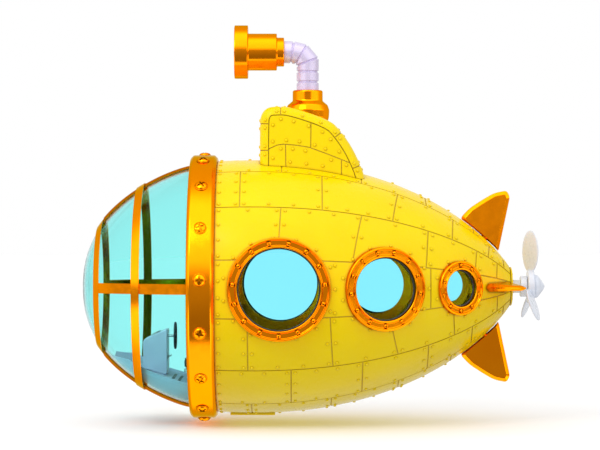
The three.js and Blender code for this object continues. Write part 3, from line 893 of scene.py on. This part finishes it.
def tower():
    seams = [0.0, *(TOWER_CURVE.nearest(*p) for p in CROWN_SEAMS), TOWER_CURVE.length]
    sides = (-CROWN_REACH, CROWN_REACH)
    edges = {**PLATE, "step": 0.022, "thickness": TOWER_SHEET}
    outer, inner = TOWER_BACKING

    def between(start, stop):
        return lambda share: (start, stop)

    def metre(along):
        return 1.0

    rim = Shape()
    rivets = Shape()
    for start, stop in zip(seams, seams[1:]):
        rim.add(plate(crown, between(start, stop), sides, metre, **edges))
        for a, b in riveted(between(start, stop), sides, metre):
            place = crown(a, b)
            above = math.hypot(place.y, place.z) > outline_radius(HULL, place.x) + 0.03
            if above and math.hypot(place.x - MAST_X, place.y) > 0.22:
                rivets.add(RIVET_HEAD, stuck_on(crown, a, b))
    lining = plate(
        crown, between(0, TOWER_CURVE.length), sides, metre,
        step=0.03, gap=0.0, thickness=0.003, bevel=0.001, sunk=outer)
    panels = Shape()
    ribbons = [ribbon(seam, PLATE["gap"], -0.5, 0.5) for seam in PANEL_SEAMS]
    slots = ribbons[0]
    for other in ribbons[1:]:
        slots = combined(slots, other, "UNION")
    for side in SIDES.values():
        panels.add(slab(panel_outline(0.003), side * (TOWER_HALF - TOWER_SHEET), side * TOWER_HALF))
        lining.add(slab(panel_outline(0.004), side * (TOWER_HALF - inner), side * (TOWER_HALF - outer)))
        for p in panel_rivets():
            rivets.add(RIVET_HEAD, facing((p.x, side * TOWER_HALF, p.y), (0, side, 0)))
    below = hull_solid(0.002)
    bore = rod((MAST_X, 0, 1.35), (MAST_X, 0, 1.75), 0.107, 48)
    rim = combined(combined(rim, below), bore)
    panels = combined(combined(panels, slots), below)
    lining = combined(combined(lining, below), bore)
    piece("tower_rim", rim, YELLOW, ["conning_tower"])
    softened(piece("tower_panels", panels, YELLOW, weighted=False), 0.0025)
    piece("tower_lining", lining, GROOVE)
    piece("tower_rivets", rivets, YELLOW)


# ---- Portholes ----

def port_ring(rim, clear_radius, depth):
    """A ring with a raised lip along each edge of its face."""
    lip = 0.015
    raised = PORT_PROUD + 0.007
    return turned(rounded([
        (-depth, clear_radius), (PORT_PROUD, clear_radius), (raised, clear_radius + 0.3 * lip),
        (raised, clear_radius + lip), (PORT_FACE, clear_radius + 1.5 * lip), (PORT_FACE, rim - 1.5 * lip),
        (raised, rim - lip), (raised, rim - 0.3 * lip), (PORT_PROUD, rim), (-depth, rim),
    ], 0.004, 3), 112)


def disc(back, front, hole, radius, rounding, steps, segments=96):
    """A round plate along +X, or a washer where its hole is open."""
    return turned(rounded([(back, hole), (back, radius), (front, radius), (front, hole)], rounding, steps), segments)


def portholes():
    seals = Shape()
    back = -0.045
    front = back + 0.014
    screw = slotted(0.0205, 0.017, 1)
    for name, port in PORTHOLES.items():
        rim, clear_radius = port["rim"], port["clear"]
        radius = outline_radius(HULL, port["x"])
        ring = port_ring(rim, clear_radius, radius - math.sqrt(radius ** 2 - rim ** 2) + 0.040)
        pane = disc(back, front, 0, clear_radius - 0.0003, 0.002, 2)
        seal = turned(rounded([
            (front + 0.0005, clear_radius - 0.012), (front + 0.0005, clear_radius - 0.0005),
            (back + 0.030, clear_radius - 0.0005), (back + 0.030, clear_radius - 0.008),
        ], 0.003, 3), 96)
        screws = Shape()
        reach = (rim + clear_radius) / 2
        for i, turn in enumerate(circle(port["screws"])):
            place = Vector((PORT_FACE, reach * math.sin(turn), -reach * math.cos(turn)))
            screws.add(screw, Matrix.Translation(place) @ spun(2.4 * i))
        for hand, side in SIDES.items():
            seat = facing(*seat_of(port, side))
            label = f"{name}_{hand}"
            piece(f"port_ring_{label}", placed(ring, seat), GOLD, [f"porthole_frame_{label}"])
            piece(f"port_screws_{label}", placed(screws, seat), BOLT, weighted=False)
            clear(piece(f"port_pane_{label}", placed(pane, seat), PORT_GLASS, [f"porthole_glass_{label}"]))
            seals.add(seal, seat)
    piece("porthole_seals", seals, BLACK)


# ---- Bow ----

def band():
    rear_bore, sheet, bevel = 1.098, 0.024, 0.026
    front, rear, radius = BAND_FRONT, BAND_REAR, BAND_RADIUS
    profile = rounded([
        (front, BAND_BORE), (front, radius - bevel), (front + bevel, radius), (rear - bevel, radius),
        (rear, radius - bevel), (rear, rear_bore), (rear - sheet, rear_bore), (rear - sheet, radius - sheet),
        (front + sheet, radius - sheet), (front + sheet, BAND_BORE),
    ], 0.009, 4)
    piece("band_ring", turned(profile, 144), GOLD, ["bow_band"])
    bolt = slotted(0.052, 0.024, 2, 40)
    washer = disc(-0.002, 0.006, 0, 0.0585, 0.003, 3, 40)
    bolts = Shape()
    count, first = 16, 4
    for i in range(count):
        angle = math.radians(first + 360 / count * i)
        out = Vector((0, -math.cos(angle), math.sin(angle)))
        place = facing(Vector(((front + rear) / 2, 0, 0)) + out * radius, out)
        bolts.add(washer, place)
        bolts.add(bolt, place @ Matrix.Translation((0.005, 0, 0)) @ spun(0.3 * i))
    piece("band_bolts", bolts, BOLT, weighted=False)


def canopy_station(turn):
    return CANOPY["centre"] - CANOPY["length"] * math.sin(turn) ** (2 / CANOPY["fullness"])


def canopy_profile(grown, start, stop, count=40):
    """Points along the canopy between two stations, closer together at the blunt nose."""
    stations = [canopy_station(math.pi / 2 * i / count) for i in range(1, count)]
    between = [x for x in stations if stop + 0.002 < x < start - 0.002]
    return [(x, outline_radius(CANOPY, x, grown)) for x in [start, *between, stop]]


def canopy():
    base = BAND_FRONT - 0.0003
    nose = CANOPY["centre"] - CANOPY["length"]
    outside = canopy_profile(0.0, base, nose)
    inside = canopy_profile(-CANOPY_WALL, base, nose + CANOPY_WALL)
    clear(piece("canopy_dome", turned(outside + inside[::-1], 128), CANOPY_GLASS, ["canopy_glass"]))


def bow_frames():
    hoops = {"hoop_front": 0.024, "hoop_middle": 0.040}
    for name, height in hoops.items():
        start, stop = high(name).x, low(name).x
        outer = canopy_profile(height, start, stop, 120)
        inner = canopy_profile(0.0008, start, stop, 120)
        piece(f"{name}_ring", turned(rounded(outer + inner[::-1], 0.008, 3), 128), GOLD, [name])

    height, width, overlap = 0.030, 0.090, 0.0006
    surface = on(CANOPY, height)
    back = height - 0.0008
    section = rounded([(-width / 2, back), (-width / 2, 0), (width / 2, 0), (width / 2, back)], 0.007, 3)
    places = {"port": 0, "top": 90, "starboard": 180, "bottom": 270}
    stretches = {
        "front": (low("hoop_middle").x, high("hoop_front").x),
        "rear": (BAND_FRONT, high("hoop_middle").x),
    }
    for place, degrees in places.items():
        turn = Matrix.Rotation(math.radians(-degrees), 4, "X")
        for stretch, (aft, fore) in stretches.items():
            steps = max(6, round((aft - fore) / 0.025))
            made = Shape()
            rings = []
            for i in range(steps + 1):
                x = aft - overlap + (fore - aft + 2 * overlap) * i / steps
                radius = outline_radius(CANOPY, x, height)
                rings.append(made.ring(surface(x, across / radius, depth) for across, depth in section))
            strip = placed(made.skin(rings), turn)
            piece(f"rib_strip_{place}_{stretch}", strip, GOLD, [f"rib_{place}_{stretch}"])


# ---- Periscope ----

def mast_rings():
    """Every ring of the mast and elbow: its middle, the way the tube goes there, the plane it is cut
    on and its radius. Each joint between segments is a groove."""
    groove, slope = 0.013, 0.012
    first_joint, pitch = 1.930, 0.092
    foot = low("periscope_mast").z
    path = [Vector((MAST_X, foot)), *(Vector(p) for p in MAST_PATH)]
    up = Vector((0, 1))
    rings = [(path[0], up, up, MAST_RADIUS)]
    joints = [first_joint - pitch * k for k in range(8)]
    for z in reversed([z for z in joints if z > foot + 0.02]):
        for shift, size in ((-slope, 0), (-0.003, groove), (0.003, groove), (slope, 0)):
            rings.append((Vector((MAST_X, z + shift)), up, up, MAST_RADIUS - size))
    for last, here, following in zip(path, path[1:], path[2:]):
        before = (here - last).normalized()
        after = (following - here).normalized()
        plane = (before + after).normalized()
        for along, shift, size in (
            (before, -slope, 0), (before, -0.002, groove), (after, 0.002, groove), (after, slope, 0),
        ):
            rings.append((here + along * shift, along, plane, MAST_RADIUS - size))
    ahead = (path[-1] - path[-2]).normalized()
    return [*rings, (path[-1], ahead, ahead, MAST_RADIUS)]


def mitred(centre, along, plane, radius):
    """A round tube's outline where a plane cuts across it."""
    direction = Vector((along.x, 0, along.y))
    normal = Vector((plane.x, 0, plane.y))
    across = Vector((0, 1, 0))
    aside = direction.cross(across)
    loop = []
    for turn in circle(64):
        offset = radius * (aside * math.cos(turn) + across * math.sin(turn))
        slide = -offset.dot(normal) / direction.dot(normal)
        loop.append(Vector((centre.x, 0, centre.y)) + offset + direction * slide)
    return loop


def periscope():
    top = high("periscope_base").z
    collar = rounded([
        (1.470, 0.103), (1.470, 0.178), (1.525, 0.192), (1.585, 0.195), (1.630, 0.180), (1.655, 0.150),
        (1.668, 0.135), (top - 0.010, 0.135), (top, 0.126), (top, 0.103),
    ], 0.009, 4)
    place = Matrix.Translation((MAST_X, 0, 0)) @ UPRIGHT
    piece("periscope_collar", placed(turned(collar, 96), place), GOLD, ["periscope_base"])

    tube = Shape()
    loops = [tube.ring(mitred(*ring)) for ring in mast_rings()]
    piece("periscope_tube", tube.skin(loops), LILAC, ["periscope_mast", "periscope_elbow"], "periscope", crease=28)

    rear = high("periscope_head").x
    front = low("periscope_head").x
    head = rounded([
        (rear, 0), (rear, 0.130), (-0.335, 0.130), (-0.335, 0.166), (-0.594, 0.166), (-0.594, 0.240),
        (front, 0.240), (front, 0.170), (front + 0.026, 0.170), (front + 0.026, 0),
    ], 0.009, 4)
    along = Matrix.Translation((0, 0, HEAD_Z))
    piece("periscope_eyepiece", placed(turned(head, 112), along), GOLD, ["periscope_head"], "periscope")
    glass_radius, bulge = 0.1695, 0.012
    window = [(front + 0.0255, 0), (front + 0.0255, glass_radius), (front + 0.018, glass_radius)]
    for k in range(1, 9):
        share = 1 - k / 8
        window.append((front + 0.018 - bulge * (1 - share ** 2), glass_radius * share))
    piece("periscope_window", placed(turned(window, 96), along), LENS_GLASS, ["periscope_lens"], "periscope")


# ---- Stern ----

def stern():
    radius = high("tail_plate").z
    x0, x1 = low("tail_plate").x, high("tail_plate").x
    section = rounded([
        (x0, SHAFT_BORE), (x0, radius), (x1 - 0.006, radius), (x1, radius - 0.010), (x1, SHAFT_BORE),
    ], 0.005)
    piece("stern_plate", turned(section, 96), YELLOW, ["tail_plate"])
    bolts = Shape()
    bolt = slotted(0.014, 0.008, 1, 20)
    reach = (radius + high("stern_tube").z) / 2
    for i, turn in enumerate(circle(8, 0.5)):
        place = Vector((x1, reach * math.cos(turn), reach * math.sin(turn)))
        bolts.add(bolt, Matrix.Translation(place) @ spun(1.7 * i))
    piece("stern_bolts", bolts, BOLT, weighted=False)
    for name, node, edge in (("stern_sleeve", "stern_tube", 0.004), ("stern_gland", "stern_bearing", 0.010)):
        sleeve = disc(low(node).x, high(node).x, SHAFT_BORE, high(node).z, edge, 4, 80)
        piece(name, sleeve, WHITE, [node])
    kept("propeller_shaft", STEEL)


def blade():
    """A flat oval blade with a round edge, standing up and turned to its pitch."""
    half_width, half_height, middle_z, pitch = 0.128, 0.190, 0.313, 28
    profile = [(-0.010, 0), (-0.010, 0.72), (-0.0095, 0.84), (-0.007, 0.94), (-0.0035, 0.99)]
    profile += [(0, 1.0)] + [(-x, r) for x, r in reversed(profile)]
    shape = turned(profile, 56)
    for point in shape.points:
        point.y *= half_width
        point.z *= half_height
    place = Matrix.Translation((0, 0, middle_z)) @ Matrix.Rotation(math.radians(pitch), 4, "Z")
    return placed(shape, place)


def propeller():
    start, stop = 1.916, low("spinner").x - 0.0003
    hub = disc(start, stop, 0.0255, 0.149, 0.016, 5, 80)
    one = blade()
    for turn in circle(3):
        place = spun(turn) @ Matrix.Translation(((start + stop) / 2, 0, 0))
        hub = combined(hub, placed(one, place), "UNION")
    hub = combined(hub, rod((start - 0.3, 0, 0), (stop + 0.3, 0, 0), 0.0254, 48))
    piece("propeller_blades", hub, WHITE, ["propeller"], "drive_rotor")
    base, tip, radius = low("spinner").x, high("spinner").x, high("spinner").z
    cone = rounded([
        (base, 0), (base, radius), (base + 0.034, radius * 0.93), (tip - 0.012, radius * 0.26), (tip, 0),
    ], 0.012, 5)
    piece("propeller_cone", turned(cone, 80), WHITE, ["spinner"], "drive_rotor")


def fin(outline, joint, swing):
    """A fin standing up from the hull, from its (x, reach) outline, on a stock that it swings about."""
    root_half, tip_half, edge_half = 0.055, 0.018, 0.003
    reaches = [p[1] for p in outline]
    made = Shape()
    rings = {-1: [], 1: []}
    # How far in from the outline each ring lies, and its share of the fin's full thickness.
    for distance, share in ((0, 0), (0.0015, 0.14), (0.005, 0.28), (0.018, 0.62), (0.028, 0.93), (0.033, 1.0)):
        loop = rounded(inset(outline, distance), 0.045 - distance, 7)
        for side in (-1, 1):
            places = []
            for p in loop:
                level = (p.y - min(reaches)) / (max(reaches) - min(reaches))
                half = root_half + (tip_half - root_half) * min(max(level, 0), 1)
                places.append((p.x, side * (edge_half + (half - edge_half) * share), p.y))
            rings[side].append(made.ring(places))
    made.skin(rings[-1][::-1] + rings[1])
    made = combined(made, hull_solid(0.005))
    x = stock_x(joint)
    stock, back = Matrix.Translation((x, 0, 0)), Matrix.Translation((-x, 0, 0))
    for angle in (-swing, swing):
        swung = stock @ Matrix.Rotation(math.radians(angle), 4, "Z") @ back
        made = combined(made, placed(hull_solid(0.004), swung))
    root = outline_radius(HULL, x)
    return made.add(rod((x, 0, root - 0.13), (x, 0, root + 0.06), 0.024, 32))


def fins():
    rudder = fin([
        (1.310, 0.610), (1.400, 0.705), (1.510, 0.777), (1.618, 0.840), (1.732, 0.863), (1.762, 0.806),
        (1.655, 0.300),
    ], "rudder_turn", 25)
    plane = fin([
        (1.500, 0.430), (1.580, 0.560), (1.680, 0.650), (1.790, 0.705), (1.842, 0.712), (1.846, 0.660),
        (1.735, 0.200),
    ], "plane_tilt", 20)
    for name, shape, degrees, body, node in (
        ("rudder_blade_upper", rudder, 0, "upper_rudder", "rudder_upper"),
        ("rudder_blade_lower", rudder, 180, "lower_rudder", "rudder_lower"),
        ("plane_blade_port", plane, 90, "port_plane", "stern_plane_port"),
        ("plane_blade_starboard", plane, -90, "starboard_plane", "stern_plane_starboard"),
    ):
        piece(name, placed(shape, spun(math.radians(degrees))), GOLD, [node], body, crease=50)


# ---- Cabin ----

def floor_strip(name, node, top, start, stop, count):
    """A floor that fills the cabin's width at each station, with rounded edges."""
    thickness, gap = 0.012, 0.008
    made = Shape()
    rings = []
    for i in range(count + 1):
        x = start + (stop - start) * i / count
        z = top(x)
        if x < BAND_FRONT:
            inside = outline_radius(CANOPY, x, -CANOPY_WALL) - gap
        elif x < BAND_REAR:
            inside = BAND_BORE - gap
        else:
            inside = outline_radius(HULL, x) - 0.014 - gap
        half = math.sqrt(max(inside ** 2 - (z - thickness) ** 2, 0.01))
        lip = min(0.014, half / 4)
        rings.append(made.ring([
            (x, -half, z - thickness), (x, -half, z - 0.003), (x, -half + 0.003, z), (x, -half + lip, z),
            (x, half - lip, z), (x, half - 0.003, z), (x, half, z - 0.003), (x, half, z - thickness),
        ]))
    piece(name, made.skin(rings), DECK, [node])


def floors():
    top = high("floor_deck").z
    front, rear = low("floor_deck").x, high("floor_deck").x
    floor_strip("cabin_floor", "floor_deck", lambda x: top, front + 0.001, rear, 48)
    ramp_front = low("footwell_pan").x
    slope = (high("footwell_pan").z - top) / (front - ramp_front)

    def ramp_top(x):
        return top + (front - x) * slope

    floor_strip("footwell_ramp", "footwell_pan", ramp_top, front - 0.001, ramp_front + 0.002, 24)
    treads = Shape()
    outline = rounded([(-0.012, -0.001), (-0.012, 0.003), (0.012, 0.003), (0.012, -0.001)], 0.002, 2)
    tread = placed(pillow(outline, 0.30, 0.001, 2), Matrix.Rotation(math.atan(slope), 4, "Y"))
    for i in range(7):
        x = front - 0.075 - 0.055 * i
        under_console = -1.540 < x < -1.300
        if not under_console:
            treads.add(tread, Matrix.Translation((x, 0, ramp_top(x))))
    piece("footwell_treads", treads, BLACK)


def bilge_liner():
    """A curved tray that lies in the bottom of the glass bow, under the floor."""
    made = Shape()
    rings = []
    count, across = 30, 28
    start, stop = BAND_FRONT - 0.004, -1.800
    for i in range(count + 1):
        x = start + (stop - start) * i / count
        outer = outline_radius(CANOPY, x, -CANOPY_WALL) - 0.010
        reach = math.radians(36) * min(1.0, 1.25 * math.sqrt(1.0 - (i / (count + 2)) ** 3))
        turns = [-reach + 2 * reach * k / across for k in range(across + 1)]
        loop = [(x, outer * math.sin(turn), -outer * math.cos(turn)) for turn in turns]
        inner = outer - 0.006
        loop += [(x, inner * math.sin(turn), -inner * math.cos(turn)) for turn in reversed(turns)]
        rings.append(made.ring(loop))
    piece("bilge_liner", made.skin(rings), DECK)


def console():
    rear, front = high("console").x, low("console").x
    ridge, brow = high("console").z, -0.471
    top = high("floor_deck").z
    ramp = 0.315

    def foot(x):
        return top + (low("floor_deck").x - x) * ramp + 0.002

    outline = rounded([(rear, foot(rear)), (rear, ridge), (front, brow), (front, foot(front))], 0.030, 6)
    piece("console_housing", pillow(outline, high("console").y, 0.011, 4), PANEL, ["console"])
    slope = Vector((front - rear, 0, brow - ridge)).normalized()
    out = Vector((-slope.z, 0, slope.x))
    out = out if out.z > 0 else -out
    panel_middle = Vector(((front + rear) / 2, 0, (ridge + brow) / 2))
    bezels, faces, hands = Shape(), Shape(), Shape()
    bezel = turned(rounded([
        (-0.002, 0.030), (-0.002, 0.040), (0.010, 0.040), (0.010, 0.034), (0.006, 0.030),
    ], 0.002), 40)
    face = turned([(0, 0), (0, 0.0305), (0.003, 0.0305), (0.003, 0)], 40)
    for i, y in enumerate((-0.105, 0.0, 0.105)):
        seat = facing(panel_middle + Vector((0, y, 0)), out)
        bezels.add(bezel, seat)
        faces.add(face, seat)
        hands.add(block((0.0035, -0.0012, -0.004), (0.0048, 0.0012, 0.024)), seat @ spun(math.radians(-50 + 45 * i)))
        hands.add(disc(0.003, 0.0065, 0, 0.004, 0.001, 3, 20), seat)
        for k in range(11):
            turn = math.radians(-125 + 25 * k)
            hands.add(block((0.003, -0.0007, 0.0225), (0.0036, 0.0007, 0.028)), seat @ spun(turn))
    for i in range(4):
        seat = facing(Vector((rear, -0.12 + 0.08 * i, foot(rear) + 0.16)), (1, 0, 0))
        bezels.add(disc(-0.001, 0.005, 0, 0.010, 0.002, 3, 24), seat)
        bezels.add(rod((0.004, 0, 0), (0.026, 0, 0.010), 0.0035, 14), seat)
    piece("dial_bezels", bezels, STEEL, weighted=False)
    piece("dial_faces", faces, DIAL)
    piece("dial_hands", hands, BLACK, weighted=False)


def steering():
    centre = Vector((-1.248, 0, (low("steering_wheel").z + high("steering_wheel").z) / 2))
    radius = half_size("steering_wheel").z - 0.011
    rim = [centre + Vector((0, radius * math.cos(t), radius * math.sin(t))) for t in circle(96)]
    made = hoop(rim, 0.0105, 14)
    for i in range(3):
        turn = math.pi / 2 + 2 * math.pi * i / 3
        out = Vector((0, math.cos(turn), math.sin(turn)))
        side = Vector((0, -out.z, out.y))
        spoke = Shape()
        rings = []
        for share in (0.0, 0.25, 0.6, 0.92, 1.0):
            half = 0.016 - 0.008 * share
            place = centre + out * (0.024 + (radius - 0.030) * share)
            outline = rounded([(-half, 0.0035), (half, 0.0035), (half, -0.0035), (-half, -0.0035)], 0.003, 3)
            rings.append(spoke.ring(place + side * p.x + Vector((p.y, 0, 0)) for p in outline))
        made.add(spoke.skin(rings))
    hub = rounded([
        (-0.016, 0), (-0.016, 0.024), (-0.010, 0.030), (0.008, 0.030), (0.014, 0.022), (0.014, 0),
    ], 0.004, 4)
    made.add(turned(hub, 48), Matrix.Translation(centre))
    piece("wheel_rim", made, BLACK, ["steering_wheel"], "steering")
    kept("steering_shaft", STEEL)


def levers():
    boss_half = 0.008
    boss = disc(-boss_half, boss_half, 0.0098, 0.026, 0.003, 3, 44)
    grip = turned(rounded([
        (-0.024, 0), (-0.024, 0.010), (-0.008, 0.018), (0.012, 0.0185), (0.020, 0.010), (0.020, 0),
    ], 0.008, 4), 32)
    for name, node, body in (
        ("dive_handle", "dive_lever", "dive_control"), ("throttle_handle", "throttle_lever", "throttle_control"),
    ):
        y = (low(node).y + high(node).y) / 2
        pivot = Vector((middle(node).x - AMIDSHIPS, y, low(node).z + 0.026))
        knob_z = high(node).z - 0.020
        made = placed(boss, facing(pivot, (0, 1, 0)))
        stalk = Shape()
        rings = []
        for share, radius in ((0.12, 0.0075), (0.3, 0.0062), (0.7, 0.0056), (0.92, 0.0065)):
            z = pivot.z + (knob_z - pivot.z) * share
            rings.append(stalk.ring(
                (pivot.x + radius * math.cos(turn), y + radius * math.sin(turn), z) for turn in circle(16)))
        made.add(stalk.skin(rings))
        made.add(grip, Matrix.Translation((pivot.x, y, knob_z)) @ UPRIGHT)
        piece(name, made, BLACK, [node], body)
    kept("lever_quadrant", PANEL, 0.004)
    kept("lever_pin", STEEL)


# ---- Seat ----

def stuffed(name, shape):
    """The shape as an even mesh, blown up by cloth simulation by no more than the swell."""
    swell, frames = 0.012, 20
    source = linked(name, shape.mesh(name))
    remesh = source.modifiers.new("even", "REMESH")
    remesh.mode = "VOXEL"
    remesh.voxel_size = 0.006
    mesh = evaluated(source)
    bpy.data.objects.remove(source)
    item = linked(name, mesh)
    rest = [vertex.co.copy() for vertex in mesh.vertices]
    cloth = item.modifiers.new("cloth", "CLOTH")
    cloth.settings.quality = 4
    cloth.settings.mass = 0.2
    cloth.settings.tension_stiffness = 30
    cloth.settings.compression_stiffness = 30
    cloth.settings.shear_stiffness = 15
    cloth.settings.bending_stiffness = 2
    cloth.settings.use_pressure = True
    cloth.settings.uniform_pressure_force = 4
    cloth.settings.effector_weights.gravity = 0
    cloth.point_cache.frame_start = 1
    cloth.point_cache.frame_end = frames
    for number in range(1, frames + 1):
        SCENE.frame_set(number)
    made = shape_of(evaluated(item))
    for i, point in enumerate(made.points):
        move = point - rest[i]
        if move.length > swell:
            made.points[i] = rest[i] + move * (swell / move.length)
    bpy.data.objects.remove(item)
    SCENE.frame_set(1)
    return made


def pressed(shape, lines, thin, side):
    """Sewn channels: grooves along lines of one y, on one face of a cushion."""
    depth, width = 0.007, 0.009
    centre = sum(p[thin] for p in shape.points) / len(shape.points)
    for point in shape.points:
        if (point[thin] - centre) * side > 0.02:
            fall = sum(math.exp(-((point.y - line) / width) ** 2) for line in lines)
            point[thin] -= side * depth * min(1.0, fall)
    return shape


def welts(shape, thin, levels_at):
    """Piping round a cushion's edge, following its surface."""
    tree = BVHTree.FromPolygons([tuple(p) for p in shape.points], shape.faces)
    ends = [(min(p[k] for p in shape.points), max(p[k] for p in shape.points)) for k in range(3)]
    centre = Vector([(start + stop) / 2 for start, stop in ends])
    first, second = (axis for axis in range(3) if axis != thin)
    half = [(stop - start) / 2 for start, stop in ends]
    made = Shape()
    for level in levels_at:
        places = []
        for turn in circle(180):
            out = Vector((0, 0, 0))
            for axis, share in ((first, math.cos(turn)), (second, math.sin(turn))):
                out[axis] = half[axis] * math.copysign(abs(share) ** 0.35, share)
            start = centre + out * 1.6
            start[thin] = level
            hit = tree.ray_cast(start, -out.normalized())[0]
            if hit is not None and (not places or (hit - places[-1]).length > 0.004):
                places.append(hit)
        made.add(hoop(places, 0.005, 8))
    return made


def cushion(name, node, thin, side, lines, edge):
    """A box cushion inside its CAD solid, thin along one axis and sewn on the side that is sat on."""
    margin, piping = 0.009, 0.024
    start, stop = low(node), high(node)
    x0, x1 = start.x + margin, stop.x - margin
    z0, z1 = start.z + margin, stop.z - margin
    corners = [(x0, z0), (x0, z1), (x1, z1), (x1, z0)]
    if thin == 2:
        corners = [(x0, z0 + 0.012), (x0, z1 - 0.006), (x1, z1), (x1, z0), (x0 + 0.03, z0)]
    shape = stuffed(name, pillow(rounded(corners, 0.03, 5), stop.y - margin, edge, 5))
    shape = pressed(shape, lines, thin, side)
    made = piece(name, shape, CLOTH, [node], weighted=False, crease=180)
    smooth = made.modifiers.new("smooth", "SUBSURF")
    smooth.levels = 1
    smooth.render_levels = 1
    levels_at = [start[thin] + piping, stop[thin] - piping]
    piece(f"{name}_welt", welts(shape, thin, levels_at), THREAD, weighted=False)


def seat():
    cushion("seat_squab", "seat_cushion", 2, 1, (-0.08, 0.08), 0.035)
    cushion("seat_backrest", "seat_back", 0, -1, (-0.075, 0.075), 0.030)
    kept("seat_frame", STEEL, 0.004)


# ---- Stage ----

def studio():
    """A white surround. Only reflections see its steps of light and shade."""
    world = bpy.data.worlds.new("studio")
    SCENE.world = world
    world.use_nodes = True
    tree = world.node_tree
    shade = tree.nodes["Background"]
    shade.inputs["Color"].default_value = (1, 1, 1, 1)
    coordinates = tree.nodes.new("ShaderNodeTexCoord")
    parts = tree.nodes.new("ShaderNodeSeparateXYZ")
    tree.links.new(coordinates.outputs["Generated"], parts.inputs[0])
    x, y, z = parts.outputs
    rays = tree.nodes.new("ShaderNodeLightPath").outputs

    def ramp(value, start, stop, first, last):
        node = tree.nodes.new("ShaderNodeMapRange")
        node.interpolation_type = "SMOOTHSTEP"
        tree.links.new(value, node.inputs["Value"])
        for name, number in zip(RANGE_SOCKETS, (start, stop, first, last)):
            node.inputs[name].default_value = number
        return node.outputs[0]

    def math_node(operation, *values):
        node = tree.nodes.new("ShaderNodeMath")
        node.operation = operation
        for socket, value in zip(node.inputs, values):
            if isinstance(value, bpy.types.NodeSocket):
                tree.links.new(value, socket)
            else:
                socket.default_value = value
        return node.outputs[0]

    def both(first, second):
        return math_node("MULTIPLY", first, second)

    def blend(first, second, share):
        return math_node("ADD", first, both(share, math_node("SUBTRACT", second, first)))

    level = ramp(x, -0.3, 0.5, 2.3, 2.6)
    # A dark strip under the horizon, then brighter steps overhead.
    level = blend(level, 0.5, both(ramp(z, 0.0, 0.08, 1, 0), ramp(z, -0.30, -0.22, 0, 1)))
    level = blend(level, 2.1, ramp(z, 0.15, 0.5, 0, 1))
    level = blend(level, 2.7, ramp(z, 0.5, 1.0, 0, 1))
    # Dimmer to starboard, and a bright ground.
    port_side = ramp(y, -0.25, 0.25, 1, 0)
    level = blend(0.9, level, port_side)
    level = blend(level, 1.75, ramp(z, -0.76, -0.73, 1, 0))
    # A dim patch straight to port, which flat brass mirrors.
    width = ramp(math_node("ABSOLUTE", x), 0.38, 0.5, 1, 0)
    height = both(ramp(z, 0.10, 0.45, 1, 0), ramp(z, -0.76, -0.73, 0, 1))
    level = blend(level, ramp(z, -0.6, 0.1, 0.32, 0.50), both(both(width, height), port_side))

    soft = ramp(z, -1, 1, 0.63, 1.04)
    level = blend(soft, level, rays["Is Glossy Ray"])
    seen = math_node("MAXIMUM", rays["Is Camera Ray"], rays["Is Transmission Ray"])
    tree.links.new(blend(level, 1.0, seen), shade.inputs["Strength"])


def stage():
    z = CAD_BOX[0].z - 0.05
    reach = 120
    mesh = bpy.data.meshes.new("floor")
    corners = [(-reach, -reach, z), (reach, -reach, z), (reach, reach, z), (-reach, reach, z)]
    mesh.from_pydata(corners, [], [(0, 1, 2, 3)])
    floor = linked("floor", mesh)
    look = Look("pale_floor", Roughness=0.9, Emission_Color=(1, 1, 1, 1), Emission_Strength=0.05)
    look.feed("Base Color", look.mixed(look.noise(0.6), (0.93, 0.93, 0.93), (0.95, 0.95, 0.95)))
    mesh.materials.append(look.material)
    floor.visible_glossy = False
    floor.visible_diffuse = False

    light = bpy.data.lights.new("key", "AREA")
    light.shape = "DISK"
    light.size = 5
    light.energy = 260
    key = bpy.data.objects.new("key", light)
    key.location = (-3.5, -6.5, 7.5)
    key.rotation_euler = (Vector((0.4, 0, 1.2)) - key.location).to_track_quat("-Z", "Y").to_euler()
    SCENE.collection.objects.link(key)
    SCENE.view_settings.view_transform = "Standard"


hull()
tower()
portholes()
band()
canopy()
bow_frames()
periscope()
stern()
propeller()
fins()
floors()
bilge_liner()
console()
steering()
levers()
seat()
for node in ("mast_carriage", "mast_guides"):
    kept(node, STEEL, 0.002)
for node in ("motor_casing", "battery_box"):
    kept(node, MOTOR, 0.004)
kept("landing_pad", YELLOW, 0.003)
studio()
stage()
